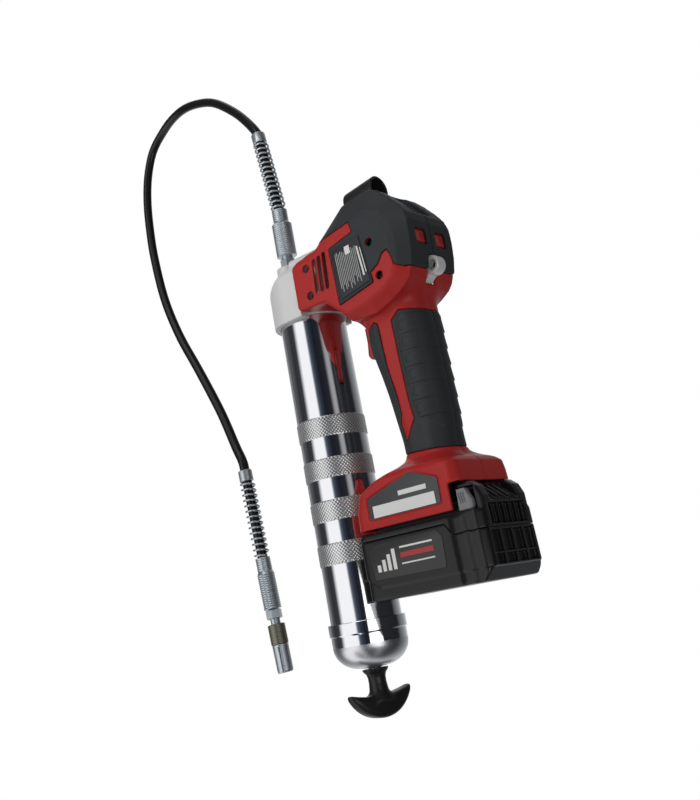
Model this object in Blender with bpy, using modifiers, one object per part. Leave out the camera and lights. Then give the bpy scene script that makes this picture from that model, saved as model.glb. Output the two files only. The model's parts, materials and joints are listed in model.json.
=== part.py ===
"""Cordless grease gun lying on its right side, with its whip hose laid out on the floor.

Shapes are written in the tool's own frame, in millimetres: the barrel's axis is x = z = 0,
y = 0 is the rim of the end cap and +y runs up the barrel to the pump head, +x is the rear
of the tool (where the grip and battery are) and +z is its left side. place() carries that
frame to the world, in metres: the floor is under the battery's right side.
"""

import collections
import math

import bmesh
import bpy
from mathutils import Matrix, Vector

MM = 0.001
GAP = 0.3  # clearance between neighbouring pieces
MID_X = 54.0  # middle of the tool without its hose, so that the origin is under it
MID_Y = 138.35
HALF_WIDTH = 38.0  # battery, the widest part, which rests on the floor

# Barrel and what slides in it
BARREL_R = 28.5
BARREL_BORE = 27.0
BARREL_TOP = 255.0
CAP_R = 30.9
ROD_R = 4.0
HANDLE_HALF = 29.8

# Pump head and drive line
HEAD_BOTTOM = 243.8
SHAFT_Y = 276.5
HOSE_X = -16.0
CRANK_THROW = 2.5
GEAR_MODULE = 0.875
SUN_TEETH, PLANET_TEETH, RING_TEETH = 12, 12, 36
PLANET_ORBIT = GEAR_MODULE * (SUN_TEETH + PLANET_TEETH) / 2

# Housing
HOUSING_HALF = 36.0
WALL = 2.8
SKIN = 1.2  # soft covers moulded over the shells
CLIP_R = 12.0
CLIP_BORE = 9.8
CLIP_Y = 334.5
SCREWS = ((32.5, 280.4), (32.5, 256.3), (102.4, 277.7), (105.6, 248.2))

# Side view of the motor housing: (x, y) near the middle, then (x, y) at its side face
HOUSING_OUTLINE = (
    (16.3, 247.5, 16.3, 247), (46, 245.5, 46, 246.5), (66, 223.5, 66, 228.5), (92, 223, 92, 233),
    (112, 229, 108, 238), (122, 234, 116, 244), (130.5, 243, 120.8, 252), (135.9, 260, 122.2, 262),
    (137.4, 273, 122.3, 274), (137.4, 287, 119, 286.5), (131.5, 299.5, 114.5, 296), (122.5, 311, 106, 301.5),
    (112, 317.9, 96, 304), (102, 321.3, 86, 303.5), (73, 321, 74, 302), (60, 314.3, 62, 299.3),
    (50, 306.8, 54, 296.5), (44, 301.6, 45, 291.5), (16.3, 296.8, 16.3, 287),
)
SIDE_EASE = ((0.0, 0.0), (20.0, 0.0), (27.0, 0.22), (32.0, 0.55), (35.0, 0.85), (36.0, 1.0))
# Rounded rectangles across the grip and foot: (y, x0, x1, half width, corner radius)
GRIP_SECTIONS = (
    (236, 64.5, 122, 23, 16), (215, 65.5, 123, 21.8, 17), (193, 66.5, 122.5, 21, 17),
    (175, 70, 122.5, 20.5, 17), (158, 72.6, 122.4, 20, 17), (135, 75.4, 121.6, 20, 17),
    (118, 77.8, 120.8, 20.5, 17), (96, 77.8, 120.8, 22, 17),
)
FOOT_SECTIONS = (
    (61.3, 36.7, 137.5, 38, 9), (74, 37.5, 137.5, 38, 9), (88, 43, 137, 37.5, 9),
    (95.5, 59, 135.5, 35.5, 10), (100.5, 69, 129, 28, 14), (106, 78, 120.4, 20.6, 16),
    (110, 81, 118.4, 17, 14),
)
COVER_OUTLINE = (
    (47, 350), (47, 296.5), (60, 298.6), (85.5, 302), (87.5, 293), (60.5, 287.6), (61.5, 237.5),
    (99, 244.5), (98.5, 253), (107, 257), (112, 263.5), (117.5, 265.5), (120.3, 259), (121, 252),
    (128, 248), (150, 245.5), (150, 350),
)
RUBBER_OUTLINE = (
    (55, 207), (66, 207.5), (70.5, 213), (76.5, 216.5), (84.5, 217), (84.5, 180), (88, 152),
    (88.2, 142), (85.5, 134), (88, 120), (98.8, 135.5), (97.2, 150), (97, 180), (97.7, 214.5),
    (107, 220.5), (140, 214.5), (140, 107.5), (55, 112.5),
)
PLATE_OUTLINE = ((62.8, 239.5), (98, 246), (94, 289), (61.5, 286))
BADGE_OUTLINE = ((52, 67.3), (120, 67.3), (121, 86.5), (96, 95), (52, 84))

# Battery in plan: front, rear, half width, corner radius
BATTERY_PLAN = (35.2, 148.0, 38.0, 11.0)
HUMP_OUTLINE = ((128.3, 55), (146, 55), (146, 69.5), (140.5, 76), (134, 79.4), (128.3, 79.4))
LATCH_OUTLINE = ((129.7, 60.7), (139.7, 60.7), (140.4, 65), (136, 71.5), (132.5, 74.6), (129.7, 74.6))

# Hose route, from the ferrule on the pump head's side to the one on the coupler's side
HOSE_R = 4.1
HOSE_ROUTE = (
    (-28, 447, -2), (-31, 453, -3), (-44, 473, -6), (-64, 496, -10), (-92, 521, -15),
    (-120, 536, -20), (-149, 545, -25), (-175, 545, -29), (-196, 539, -32),
    (-212, 530, -33.5), (-222, 517, -33.7), (-231, 495, -33.7), (-236, 467, -33.7),
    (-237, 433, -33.7), (-235, 400, -33.7), (-227, 352, -33.7), (-211, 306, -33.7),
    (-188, 260, -33.7), (-165, 211, -33.3), (-149, 172, -31.5), (-142.5, 153, -30.2),
    (-141, 146, -30),
)
UPPER_END = Vector((HOSE_X, 362.4, 0))  # the spring guard starts here, above the crimp sleeve
UPPER_AIM = Vector((-28.2, 449.5, -2.2))
LOWER_END = Vector((-140.4, 148.0, -29.8))  # coupler side, lying on the floor
LOWER_AIM = Vector((-126.0, -31.5, -29.8))

# Moving bodies: what each is carried by, and a point on its joint's axis
PIVOTS = {
    "tool": (None, (0, 0, 0)),
    "rod": ("tool", (0, -50, 0)),
    "plunger": ("tool", (19, SHAFT_Y, 0)),
    "rotor": ("tool", (100, SHAFT_Y, 0)),
    "output": ("tool", (52, SHAFT_Y, 0)),
    "trigger": ("tool", (70, 207.5, 0)),
    "button_left": ("tool", (135, 274, 13.5)),
    "button_right": ("tool", (135, 274, -13.5)),
    "battery": ("tool", (91.6, 36, 0)),
    "latch_left": ("battery", (134.7, 67, 31.6)),
    "latch_right": ("battery", (134.7, 67, -31.6)),
}
for number in range(3):
    turn = 2 * math.pi * number / 3
    PIVOTS[f"planet_{number + 1}"] = (
        "output", (60, SHAFT_Y + PLANET_ORBIT * math.cos(turn), PLANET_ORBIT * math.sin(turn)),
    )

# Base colour, roughness and metallic of each material
FINISHES = {
    "chrome": ((0.86, 0.87, 0.90), 0.06, 1.0),
    "steel": ((0.55, 0.55, 0.57), 0.28, 1.0),
    "zinc": ((0.78, 0.82, 0.84), 0.20, 1.0),
    "dark_metal": ((0.27, 0.26, 0.21), 0.42, 0.85),
    "cast_metal": ((0.60, 0.60, 0.595), 0.46, 0.15),
    "gear_metal": ((0.60, 0.60, 0.61), 0.45, 0.9),
    "red_plastic": ((0.40, 0.032, 0.026), 0.36, 0.0),
    "black_plastic": ((0.012, 0.012, 0.013), 0.36, 0.0),
    "soft_black": ((0.026, 0.029, 0.032), 0.5, 0.0),
    "grey_plastic": ((0.14, 0.14, 0.145), 0.3, 0.0),
    "label": ((0.062, 0.064, 0.066), 0.42, 0.0),
    "cells": ((0.06, 0.20, 0.40), 0.35, 0.0),
    "board": ((0.02, 0.13, 0.05), 0.4, 0.0),
    "rubber": ((0.012, 0.012, 0.013), 0.4, 0.0),
}

# A closed profile of (radius, height) points that is turned about an axis through centre
Turned = collections.namedtuple("Turned", "profile axis centre segments")


def place(point):
    """A point of the tool's frame in the world."""
    x, y, z = point
    return Vector(((x - MID_X) * MM, (y - MID_Y) * MM, (z + HALF_WIDTH) * MM))


# Scene, and how shapes become objects

def clear_scene():
    for thing in list(bpy.data.objects):
        bpy.data.objects.remove(thing, do_unlink=True)
    for name in ("grease_gun", "cutters"):
        collection = bpy.data.collections.new(name)
        bpy.context.scene.collection.children.link(collection)


def add_pivots():
    """An empty on each joint's axis, which the moving pieces hang from."""
    for name, (carrier, point) in PIVOTS.items():
        pivot = bpy.data.objects.new(f"pivot_{name}", None)
        pivot.empty_display_size = 0.01
        bpy.data.collections["grease_gun"].objects.link(pivot)
        if carrier:
            pivot.parent = bpy.data.objects[f"pivot_{carrier}"]
            pivot.location = (Vector(point) - Vector(PIVOTS[carrier][1])) * MM
        else:
            pivot.location = place(point)


def paint(made, finish):
    colour, roughness, metallic = FINISHES[finish]
    material = bpy.data.materials.new(f"{made.name}_{finish}")
    material.use_nodes = True
    shader = material.node_tree.nodes["Principled BSDF"]
    shader.inputs["Base Color"].default_value = (*colour, 1)
    shader.inputs["Roughness"].default_value = roughness
    shader.inputs["Metallic"].default_value = metallic
    made.data.materials.append(material)


def hang(name, data, seat, finish, body):
    """Puts data in the scene, seated by a matrix of the tool's frame. With no finish it cuts."""
    made = bpy.data.objects.new(name, data)
    bpy.data.collections["grease_gun" if finish else "cutters"].objects.link(made)
    made.parent = bpy.data.objects[f"pivot_{body}"]
    offset = seat.translation - Vector(PIVOTS[body][1])
    made.location = offset * MM
    made.rotation_euler = seat.to_euler()
    if finish:
        paint(made, finish)
    else:
        made.hide_render = True
        made.display_type = "WIRE"
    return made


def add(name, shape, finish=None, body="tool", matrix=None, bevel=None):
    """An object from a bmesh or a turned profile. bevel is (width, segments)."""
    if isinstance(shape, Turned):
        made = add_turned(name, shape, finish, body, matrix)
    else:
        seat = matrix or Matrix.Translation(PIVOTS[body][1])
        if not matrix:
            bmesh.ops.translate(shape, vec=-seat.translation, verts=shape.verts)
        bmesh.ops.scale(shape, vec=(MM, MM, MM), verts=shape.verts)
        bmesh.ops.recalc_face_normals(shape, faces=shape.faces)
        mesh = bpy.data.meshes.new(name)
        shape.to_mesh(mesh)
        shape.free()
        mesh.shade_smooth()
        mesh.set_sharp_from_angle(angle=math.radians(35))
        made = hang(name, mesh, seat, finish, body)
    if bevel:
        rounding = made.modifiers.new("rounding", "BEVEL")
        rounding.width = bevel[0] * MM
        rounding.segments = bevel[1]
        rounding.limit_method = "ANGLE"
        rounding.angle_limit = math.radians(40)
    return made


def add_turned(name, shape, finish, body, matrix):
    """A profile swept about its axis by a Screw modifier."""
    points = list(shape.profile)
    area = sum(a[0] * b[1] - b[0] * a[1] for a, b in zip(points, points[1:] + points[:1]))
    if area > 0:
        points.reverse()
    while points[0][0] == 0 and points[-1][0] != 0 or points[0][0] == points[1][0] == 0:
        points = points[1:] + points[:1]
    count = len(points)
    edges = [(i, i + 1) for i in range(count - 1)]
    if points[0][0] or points[-1][0]:
        edges.append((count - 1, 0))
    mesh = bpy.data.meshes.new(name)
    mesh.from_pydata([(radius * MM, 0, height * MM) for radius, height in points], edges, [])
    seat = (matrix or Matrix.Identity(4)) @ Matrix.Translation(shape.centre) @ upright(shape.axis)
    made = hang(name, mesh, seat, finish, body)
    screw = made.modifiers.new("turn", "SCREW")
    screw.axis = "Z"
    screw.steps = shape.segments
    screw.render_steps = shape.segments
    screw.use_merge_vertices = True
    screw.merge_threshold = 1e-6
    screw.use_smooth_shade = True
    return made


def upright(axis):
    """Matrix that turns local Z onto an axis of the tool's frame."""
    if axis == "z":
        return Matrix.Identity(4)
    return Matrix.Rotation(math.radians(90 if axis == "x" else -90), 4, "Y" if axis == "x" else "X")


def boolean(target, other, operation="DIFFERENCE"):
    modifier = target.modifiers.new(f"{operation.lower()}_{other.name}"[:60], "BOOLEAN")
    modifier.operation = operation
    modifier.solver = "EXACT"
    modifier.object = other


def wire(name, points, radius, finish, roundness, body="tool"):
    """A round wire or tube along points of the tool's frame."""
    curve = bpy.data.curves.new(name, "CURVE")
    curve.dimensions = "3D"
    curve.bevel_depth = radius * MM
    curve.bevel_resolution = roundness
    curve.use_fill_caps = True
    spline = curve.splines.new("POLY")
    spline.points.add(len(points) - 1)
    pivot = Vector(PIVOTS[body][1])
    for corner, point in zip(spline.points, points):
        corner.co = (*((point - pivot) * MM), 1.0)
    return hang(name, curve, Matrix.Translation(pivot), finish, body)


# Basic shapes of the tool's frame

def loft(loops):
    """A skin over loops of equally many points, with flat ends."""
    bm = bmesh.new()
    rings = [[bm.verts.new(point) for point in loop] for loop in loops]
    count = len(loops[0])
    for low, high in zip(rings, rings[1:]):
        for i in range(count):
            j = (i + 1) % count
            bm.faces.new((low[i], low[j], high[j], high[i]))
    bm.faces.new(rings[0][::-1])
    bm.faces.new(rings[-1])
    return bm


def lathe(profile, axis, centre=(0, 0, 0), segments=32):
    return Turned(tuple(profile), axis, centre, segments)


def tube(outer, inner, low, high, axis, centre=(0, 0, 0), segments=32):
    return lathe(((inner, low), (outer, low), (outer, high), (inner, high)), axis, centre, segments)


def rod(radius, low, high, axis, centre=(0, 0, 0), segments=24):
    """A plain cylinder from low to high along an axis."""
    bm = bmesh.new()
    bmesh.ops.create_cone(
        bm, cap_ends=True, segments=segments, radius1=radius, radius2=radius, depth=high - low,
        matrix=Matrix.Translation((0, 0, (low + high) / 2)),
    )
    bmesh.ops.transform(bm, matrix=Matrix.Translation(centre) @ upright(axis), verts=bm.verts)
    return bm


def box(low, high):
    low, high = Vector(low), Vector(high)
    bm = bmesh.new()
    bmesh.ops.create_cube(bm, size=1.0)
    bmesh.ops.scale(bm, vec=high - low, verts=bm.verts)
    bmesh.ops.translate(bm, vec=(low + high) / 2, verts=bm.verts)
    return bm


def prism(outline, low, high, plane="xy"):
    """An outline in a plane, extruded from low to high across it."""
    def point(a, b, c):
        return {"xy": (a, b, c), "zy": (c, b, a), "yz": (c, a, b)}[plane]

    bm = bmesh.new()
    face = bm.faces.new([bm.verts.new(point(a, b, low)) for a, b in outline])
    grown = bmesh.ops.extrude_face_region(bm, geom=[face])
    moved = [item for item in grown["geom"] if isinstance(item, bmesh.types.BMVert)]
    bmesh.ops.translate(bm, vec=point(0, 0, high - low), verts=moved)
    return bm


def rounded_rectangle(x0, x1, half_z, radius, steps=4):
    """Corner-rounded loop in plan, as (x, z) pairs."""
    radius = min(radius, half_z - 0.1, (x1 - x0) / 2 - 0.1)
    loop = []
    for quarter, (cx, cz) in enumerate((
        (x1 - radius, half_z - radius), (x0 + radius, half_z - radius),
        (x0 + radius, radius - half_z), (x1 - radius, radius - half_z),
    )):
        for k in range(steps + 1):
            angle = math.pi / 2 * (quarter + k / steps)
            loop.append((cx + radius * math.cos(angle), cz + radius * math.sin(angle)))
    return loop


def stack(sections):
    """A loft up the tool over rounded rectangles (y, x0, x1, half width, corner radius)."""
    return loft([
        [(x, y, z) for x, z in rounded_rectangle(x0, x1, half, radius)]
        for y, x0, x1, half, radius in sections
    ])


def inset(points, distance):
    """Moves each side of a counter-clockwise polygon inwards."""
    points = list(points)
    moved = []
    for before, here, after in zip(points[-1:] + points[:-1], points, points[1:] + points[:1]):
        first = (Vector(here) - Vector(before)).normalized()
        second = (Vector(after) - Vector(here)).normalized()
        normal = Vector((-first.y, first.x))
        bisector = (normal + Vector((-second.y, second.x))).normalized()
        moved.append(tuple(Vector(here) + bisector * distance / max(bisector.dot(normal), 0.4)))
    return moved


def helix(radius, wire_r, low, high, turns, centre=(0, 0, 0), per_turn=10):
    """Centreline of a helical spring along y."""
    steps = int(turns * per_turn)
    return [
        Vector(centre) + Vector((
            radius * math.cos(2 * math.pi * k / per_turn),
            low + wire_r + (high - low - 2 * wire_r) * k / steps,
            radius * math.sin(2 * math.pi * k / per_turn),
        ))
        for k in range(steps + 1)
    ]


def toothed(teeth, centre, inside=False, phase=0.0):
    """Outline of a spur gear, or of the teeth inside a ring, as (y, z) pairs."""
    pitch = GEAR_MODULE * teeth / 2
    sign = -1 if inside else 1
    tip = pitch + sign * 0.8 * GEAR_MODULE
    root = pitch - sign * 1.05 * GEAR_MODULE
    outline = []
    for k in range(teeth):
        for offset, radius in ((-0.30, root), (-0.12, tip), (0.12, tip), (0.30, root)):
            angle = phase + 2 * math.pi * (k + offset) / teeth
            outline.append((centre[1] + radius * math.cos(angle), centre[2] + radius * math.sin(angle)))
    return outline


def aimed(start, end):
    """Matrix that carries +y from the origin onto the line from start to end."""
    turn = Vector((0, 1, 0)).rotation_difference(end - start)
    return Matrix.Translation(start) @ turn.to_matrix().to_4x4()


# Barrel, cap, rod and follower

def build_barrel():
    add("barrel_tube", tube(BARREL_R, BARREL_BORE, -4.0, BARREL_TOP, "y", segments=40), "chrome")
    gasket = tube(28.2, 26.2, BARREL_TOP + GAP, BARREL_TOP + 2.2, "y", segments=32)
    add("barrel_gasket", gasket, "rubber")
    cap = (
        (28.9, 0), (CAP_R, 0), (CAP_R, -8.6), (29.7, -9.6), (29.5, -18), (28.8, -23), (26.4, -27),
        (22, -30.6), (14, -33.6), (9, -34.6), (5.6, -35), (5.6, -31), (20, -28), (25.6, -22),
        (26.4, -6), (28.9, -5),
    )
    add("end_cap", lathe(cap, "y", segments=36), "chrome")
    bush = ((4.4, -38.2), (10, -38.2), (10, -35.3), (5.3, -35.3), (5.3, -30.5), (4.4, -30.5))
    add("rod_bush", lathe(bush, "y", segments=24), "steel")


def build_follower():
    add("follower_rod", rod(ROD_R, -49.5, 236.0, "y", segments=16), "steel", "rod")
    hub = ((0, -50 - GAP), (4.4, -50 - GAP), (4.4, -41), (6.9, -41), (6.9, -58), (0, -58))
    handle = add("t_handle", lathe(hub, "y", segments=20), "black_plastic", "rod")
    angles = [math.pi * k / 12 for k in range(13)]
    arc = [(HANDLE_HALF * math.cos(a), -54 - 15.8 * math.sin(a)) for a in angles]
    end = HANDLE_HALF - 3
    outline = [(end, -49.8)] + arc + [(-end, -49.8), (-13, -54.5), (13, -54.5)]
    turn = Matrix.Rotation(math.radians(75.5), 4, "Y")
    bar = add("t_handle_bar", prism(outline, -7, 7), matrix=turn, bevel=(1.6, 2))
    boolean(handle, bar, "UNION")
    cup = (
        (0, 236.3), (8, 236.3), (8, 242), (24.5, 242), (26.6, 238), (26.7, 250), (25, 252),
        (22, 246), (0, 246),
    )
    add("follower_cup", lathe(cup, "y"), "rubber", "rod")
    wire("follower_spring", helix(20.5, 1.1, -27, 241.4, 13), 1.1, "steel", 0)


# Pump head: casting, plunger, yoke and outlet valve

def head_plan(half, x_rear):
    """Plan of the casting: round at the front, straight sides to the rear."""
    angles = [math.pi * k / 14 for k in range(15)]
    arc = [(-half * math.sin(a), -half * math.cos(a)) for a in angles]
    return arc + [(x_rear, half), (x_rear, -half)]


def build_head():
    front = ((HEAD_BOTTOM, 32.2), (284, 32.2), (288.5, 31.0), (297, 22.0), (302.5, 13.5))
    loops = [[(x, y, z) for x, z in head_plan(half, 15.8)] for y, half in front]
    casting = add("pump_head", loft(loops), "cast_metal")
    rear = ((251.5, 30.6), (283, 30.6), (287, 27.0), (291.5, 19.0), (293.5, 15.5))
    loops = [[(x, y, z) for x, z in rounded_rectangle(10, 44, half, 2, 2)] for y, half in rear]
    boolean(casting, add("head_rear", loft(loops)), "UNION")
    boolean(casting, add("head_neck", rod(31.2, HEAD_BOTTOM + 0.6, 252.7, "y", segments=40)), "UNION")
    boolean(casting, add("head_boss", rod(11.5, 290, 304.0, "y", (HOSE_X, 0, 0))), "UNION")
    cuts = (
        ("barrel_socket", rod(28.9, HEAD_BOTTOM - 5, BARREL_TOP + 2.5, "y", segments=40)),
        ("crank_pocket", box((8, SHAFT_Y - 14.2, -12.5), (60, SHAFT_Y + 14.2, 12.5))),
        ("plunger_bore", rod(4.3, SHAFT_Y + 10, SHAFT_Y + 22, "y", (19, 0, 0), 20)),
        ("outlet_bore", rod(5.2, 279, 310, "y", (HOSE_X, 0, 0), 20)),
        ("screw_bore_1", rod(3.1, 21.5, 40, "z", (*SCREWS[0], 0), 12)),
        ("screw_bore_2", rod(3.1, 21.5, 40, "z", (*SCREWS[1], 0), 12)),
    )
    for name, shape in cuts:
        boolean(casting, add(name, shape))
    frame = box((14, SHAFT_Y - 9.8, -9.8), (24, SHAFT_Y + 9.8, 9.8))
    yoke = add("plunger_yoke", frame, "steel", "plunger")
    window = add("yoke_window", box((10, SHAFT_Y - 7.3, -7.3), (30, SHAFT_Y + 7.3, 7.3)))
    boolean(yoke, window)
    plunger = rod(4.0, SHAFT_Y + 9.8 + GAP, SHAFT_Y + 17, "y", (19, 0, 0), 16)
    add("pump_plunger", plunger, "steel", "plunger")
    angles = [math.pi * k / 6 for k in range(1, 6)]
    ball = [(0, -3.4)] + [(3.4 * math.sin(a), -3.4 * math.cos(a)) for a in angles] + [(0, 3.4)]
    add("check_ball", lathe(ball, "y", (HOSE_X, 283, 0), 12), "steel")
    turns = helix(2.8, 0.5, 286.9, 296.4, 5, (HOSE_X, 0, 0), 8)
    wire("check_spring", turns, 0.5, "steel", 0)
    bleed = ((0, -40), (2.5, -40), (2.5, -37), (4.5, -37), (4.5, -32.6), (0, -32.6))
    add("bleed_valve", lathe(bleed, "x", (0, 272, 0), 6), "zinc")


# Gearbox and motor, on one axis towards the rear

def build_drive():
    axis = (0, SHAFT_Y, 0)
    shaft = ((0, 27), (8.4, 27), (8.4, 33), (5, 33), (5, 50.3), (0, 50.3))
    crank = add("crank", lathe(shaft, "x", axis, 24), "steel", "output")
    pin = add("crank_pin", rod(2.2, 14.6, 28, "x", (0, SHAFT_Y, -CRANK_THROW), 16))
    boolean(crank, pin, "UNION")
    case = ((5.3, 46), (22, 46), (22, 73.3), (19.7, 73.3), (19.7, 50), (5.3, 50))
    add("gearbox_case", lathe(case, "x", axis), "gear_metal")
    ring = add("ring_gear", rod(19.4, 55.2, 66, "x", axis, 48), "gear_metal")
    teeth = prism(toothed(RING_TEETH, axis, inside=True), 50, 70, "yz")
    boolean(ring, add("ring_teeth", teeth))
    carrier = add("planet_carrier", rod(15, 50.6, 54.6, "x", axis, 28), "gear_metal", "output")
    for k in range(3):
        number = k + 1
        angle = 2 * math.pi * k / 3
        _, y, z = PIVOTS[f"planet_{number}"][1]
        pin = add(f"planet_pin_{number}", rod(1.6, 52, 66, "x", (0, y, z), 12))
        boolean(carrier, pin, "UNION")
        # The ring has a tooth at the angle of each planet, so the planet has a gap there.
        outline = toothed(PLANET_TEETH, (0, y, z), phase=angle + math.pi / PLANET_TEETH)
        body = f"planet_{number}"
        planet = add(f"planet_gear_{number}", prism(outline, 55.4, 65, "yz"), "gear_metal", body)
        boolean(planet, add(f"planet_bore_{number}", rod(1.9, 50, 70, "x", (0, y, z), 16)))
    sun = prism(toothed(SUN_TEETH, axis), 55.6, 67, "yz")
    sun = add("sun_gear", sun, "gear_metal", "rotor")
    boolean(sun, add("sun_bore", rod(2.1, 50, 70, "x", axis, 16)))
    can = ((4.0, 73.6), (22, 73.6), (22, 122), (19.5, 122), (19.5, 75.8), (4.0, 75.8))
    add("motor_can", lathe(can, "x", axis), "steel")
    rotor = (
        (0, 57), (1.8, 57), (1.8, 76.5), (2.8, 76.5), (2.8, 83), (17, 83), (17, 108), (8, 108),
        (8, 119), (2.5, 119), (2.5, 128.5), (0, 128.5),
    )
    add("rotor", lathe(rotor, "x", axis, 24), "steel", "rotor")
    bell = ((2.9, 122.3), (22, 122.3), (22, 124.5), (12, 127), (2.9, 127))
    add("motor_end_bell", lathe(bell, "x", axis), "black_plastic")


# Housing: two moulded halves, each with a soft cover, and the pieces on them

def housing_body(wall):
    """The motor housing's solid, or its cavity when wall is its thickness."""
    reach = (HOUSING_HALF - wall) / HOUSING_HALF
    levels = []
    for z, ease in SIDE_EASE:
        outline = [(a + (c - a) * ease, b + (d - b) * ease) for a, b, c, d in HOUSING_OUTLINE]
        levels.append((z * reach, inset(outline, wall) if wall else outline))
    right = [[(x, y, -z) for x, y in outline] for z, outline in levels[:0:-1]]
    left = [[(x, y, z) for x, y in outline] for z, outline in levels[1:]]
    return loft(right + left)


def thinner(sections, wall, ends):
    """Sections moved inwards by wall, with the first and last y replaced."""
    moved = [[y, x0 + wall, x1 - wall, half - wall, radius - wall] for y, x0, x1, half, radius in sections]
    moved[0][0], moved[-1][0] = ends
    return moved


def side_block(side):
    """Everything on one side of the seam between the halves."""
    low, high = (GAP / 2, 60) if side > 0 else (-60, -GAP / 2)
    return box((-60, 40, low), (200, 360, high))


def housing_cutters():
    """Shapes that both halves are cut with."""
    shapes = {
        "housing_cavity": housing_body(WALL),
        "grip_cavity": stack(thinner(GRIP_SECTIONS, WALL, (240, 90))),
        "foot_cavity": stack(thinner(FOOT_SECTIONS, WALL, (50, 108))),
        "head_opening": box((0, 251, -33.2), (30, 299.5, 33.2)),
        "barrel_opening": rod(31.6, 200, 256, "y", segments=40),
        "trigger_slot": box((40, 192.5, -9), (75, 222.5, 9)),
        "eyelet_slot": box((112, 236.8, -5.4), (150, 263, 5.4)),
        "battery_door": box((128, 50, -50), (160, 80, 50)),
    }
    for number, x in enumerate((41.5, 47.1, 52.7)):
        slot = ((x - 1.3, 256), (x + 1.3, 254.5), (x + 1.3, 286.5), (x - 1.3, 285))
        shapes[f"vent_{number + 1}"] = prism(slot, -60, 60)
    return {name: add(name, shape) for name, shape in shapes.items()}


def recess(name, outline, core):
    """A prism that cuts only the skin outside the core shape."""
    made = add(name, prism(outline, -60, 60))
    boolean(made, core)
    return made


def build_half(side, cutters):
    tag = "left" if side > 0 else "right"
    half = add(f"half_{tag}", side_block(side))
    shell = add(f"housing_{tag}", housing_body(0), "red_plastic")
    boolean(shell, add(f"grip_outer_{tag}", stack(GRIP_SECTIONS)), "UNION")
    boolean(shell, add(f"foot_outer_{tag}", stack(FOOT_SECTIONS)), "UNION")
    for cutter in cutters.values():
        boolean(shell, cutter)
    core = add(f"cover_core_{tag}", housing_body(SKIN + GAP))
    boolean(shell, recess(f"cover_recess_{tag}", COVER_OUTLINE, core))
    core = add(f"rubber_core_{tag}", stack(thinner(GRIP_SECTIONS, SKIN + GAP, (240, 90))))
    boolean(shell, recess(f"rubber_recess_{tag}", RUBBER_OUTLINE, core))
    low, high = sorted((side * 7.6, side * 19.4))
    hole = add(f"button_hole_{tag}", box((120, 268.1, low), (150, 279.9, high)))
    boolean(shell, hole)
    low, high = sorted((side * 24.6, side * 37))
    ledge = add(f"battery_ledge_{tag}", box((44, 61.6, low), (127, 65.4, high)))
    boolean(shell, ledge, "UNION")
    boolean(shell, half, "INTERSECT")
    cover = build_cover(tag, cutters["eyelet_slot"], hole, half)
    build_rubber(tag, cutters["trigger_slot"], half)
    return shell, cover


def build_cover(tag, eyelet_slot, hole, half):
    cover = add(f"soft_cover_{tag}", housing_body(0), "soft_black")
    boolean(cover, add(f"cover_inside_{tag}", housing_body(SKIN)))
    inner = inset(COVER_OUTLINE, GAP)
    boolean(cover, add(f"cover_block_{tag}", prism(inner, -60, 60)), "INTERSECT")
    boolean(cover, eyelet_slot)
    boolean(cover, hole)
    boolean(cover, half, "INTERSECT")
    return cover


def build_rubber(tag, trigger_slot, half):
    grip = [(y, x0 - 0.6, x1 + 0.6, half_z + 0.6, r) for y, x0, x1, half_z, r in GRIP_SECTIONS]
    rubber = add(f"grip_rubber_{tag}", stack(grip), "soft_black")
    inside = add(f"rubber_inside_{tag}", stack(thinner(GRIP_SECTIONS, SKIN, (240, 90))))
    boolean(rubber, inside)
    boolean(rubber, trigger_slot)
    inner = inset(RUBBER_OUTLINE[::-1], GAP)
    boolean(rubber, add(f"rubber_block_{tag}", prism(inner, -60, 60)), "INTERSECT")
    boolean(rubber, half, "INTERSECT")


def build_housing():
    cutters = housing_cutters()
    halves = {side: build_half(side, cutters) for side in (1, -1)}
    for number, (x, y) in enumerate(SCREWS):
        hole = add(f"screw_hole_{number + 1}", rod(3.1, 20, 60, "z", (x, y, 0), 16))
        shell, cover = halves[1]
        boolean(cover if number == 2 else shell, hole)
        screw = ((0, 31.4), (2.8, 31.4), (2.8, 28.6), (1.6, 28.6), (1.6, 22), (0, 22))
        add(f"housing_screw_{number + 1}", lathe(screw, "z", (x, y, 0), 12), "steel")
    angles = [math.radians(degrees) for degrees in range(-60, 181, 20)]
    loop = [(132.6 + 8.4 * math.cos(a), 250.4 + 8.4 * math.sin(a)) for a in angles]
    outline = loop + [(118, 246), (118, 240.5), (125, 237.4)]
    ring = add("strap_eyelet", prism(outline, -4.8, 4.8), "cast_metal", bevel=(0.8, 1))
    boolean(ring, add("strap_hole", rod(4.6, -20, 20, "z", (132.6, 250.4, 0), 20)))
    for side, tag in ((1, "left"), (-1, "right")):
        low, high = sorted((side * 8.1, side * 18.9))
        button = box((130.8, 268.6, low), (139.6, 279.4, high))
        add(f"push_button_{tag}", button, "red_plastic", f"button_{tag}", bevel=(0.8, 1))


def build_clip():
    """Tube on top that the coupler end of the hose is parked in."""
    angles = [math.radians(degrees) for degrees in range(-36, 217, 16)]
    outer = [(CLIP_R * math.cos(a), CLIP_Y + CLIP_R * math.sin(a)) for a in angles]
    inner = [(CLIP_BORE * math.cos(a), CLIP_Y + CLIP_BORE * math.sin(a)) for a in angles[::-1]]
    outline = [(16.5, 322.4), (16.5, 325), (10.6, 326.4)] + outer[1:-1]
    outline += [(-10.6, 326.4), (-16.5, 325), (-16.5, 322.4), (-8.4, 322.4)]
    outline += inner[1:-1] + [(8.4, 322.4)]
    add("hose_clip", prism(outline, 66, 99, plane="zy"), "black_plastic")


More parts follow.
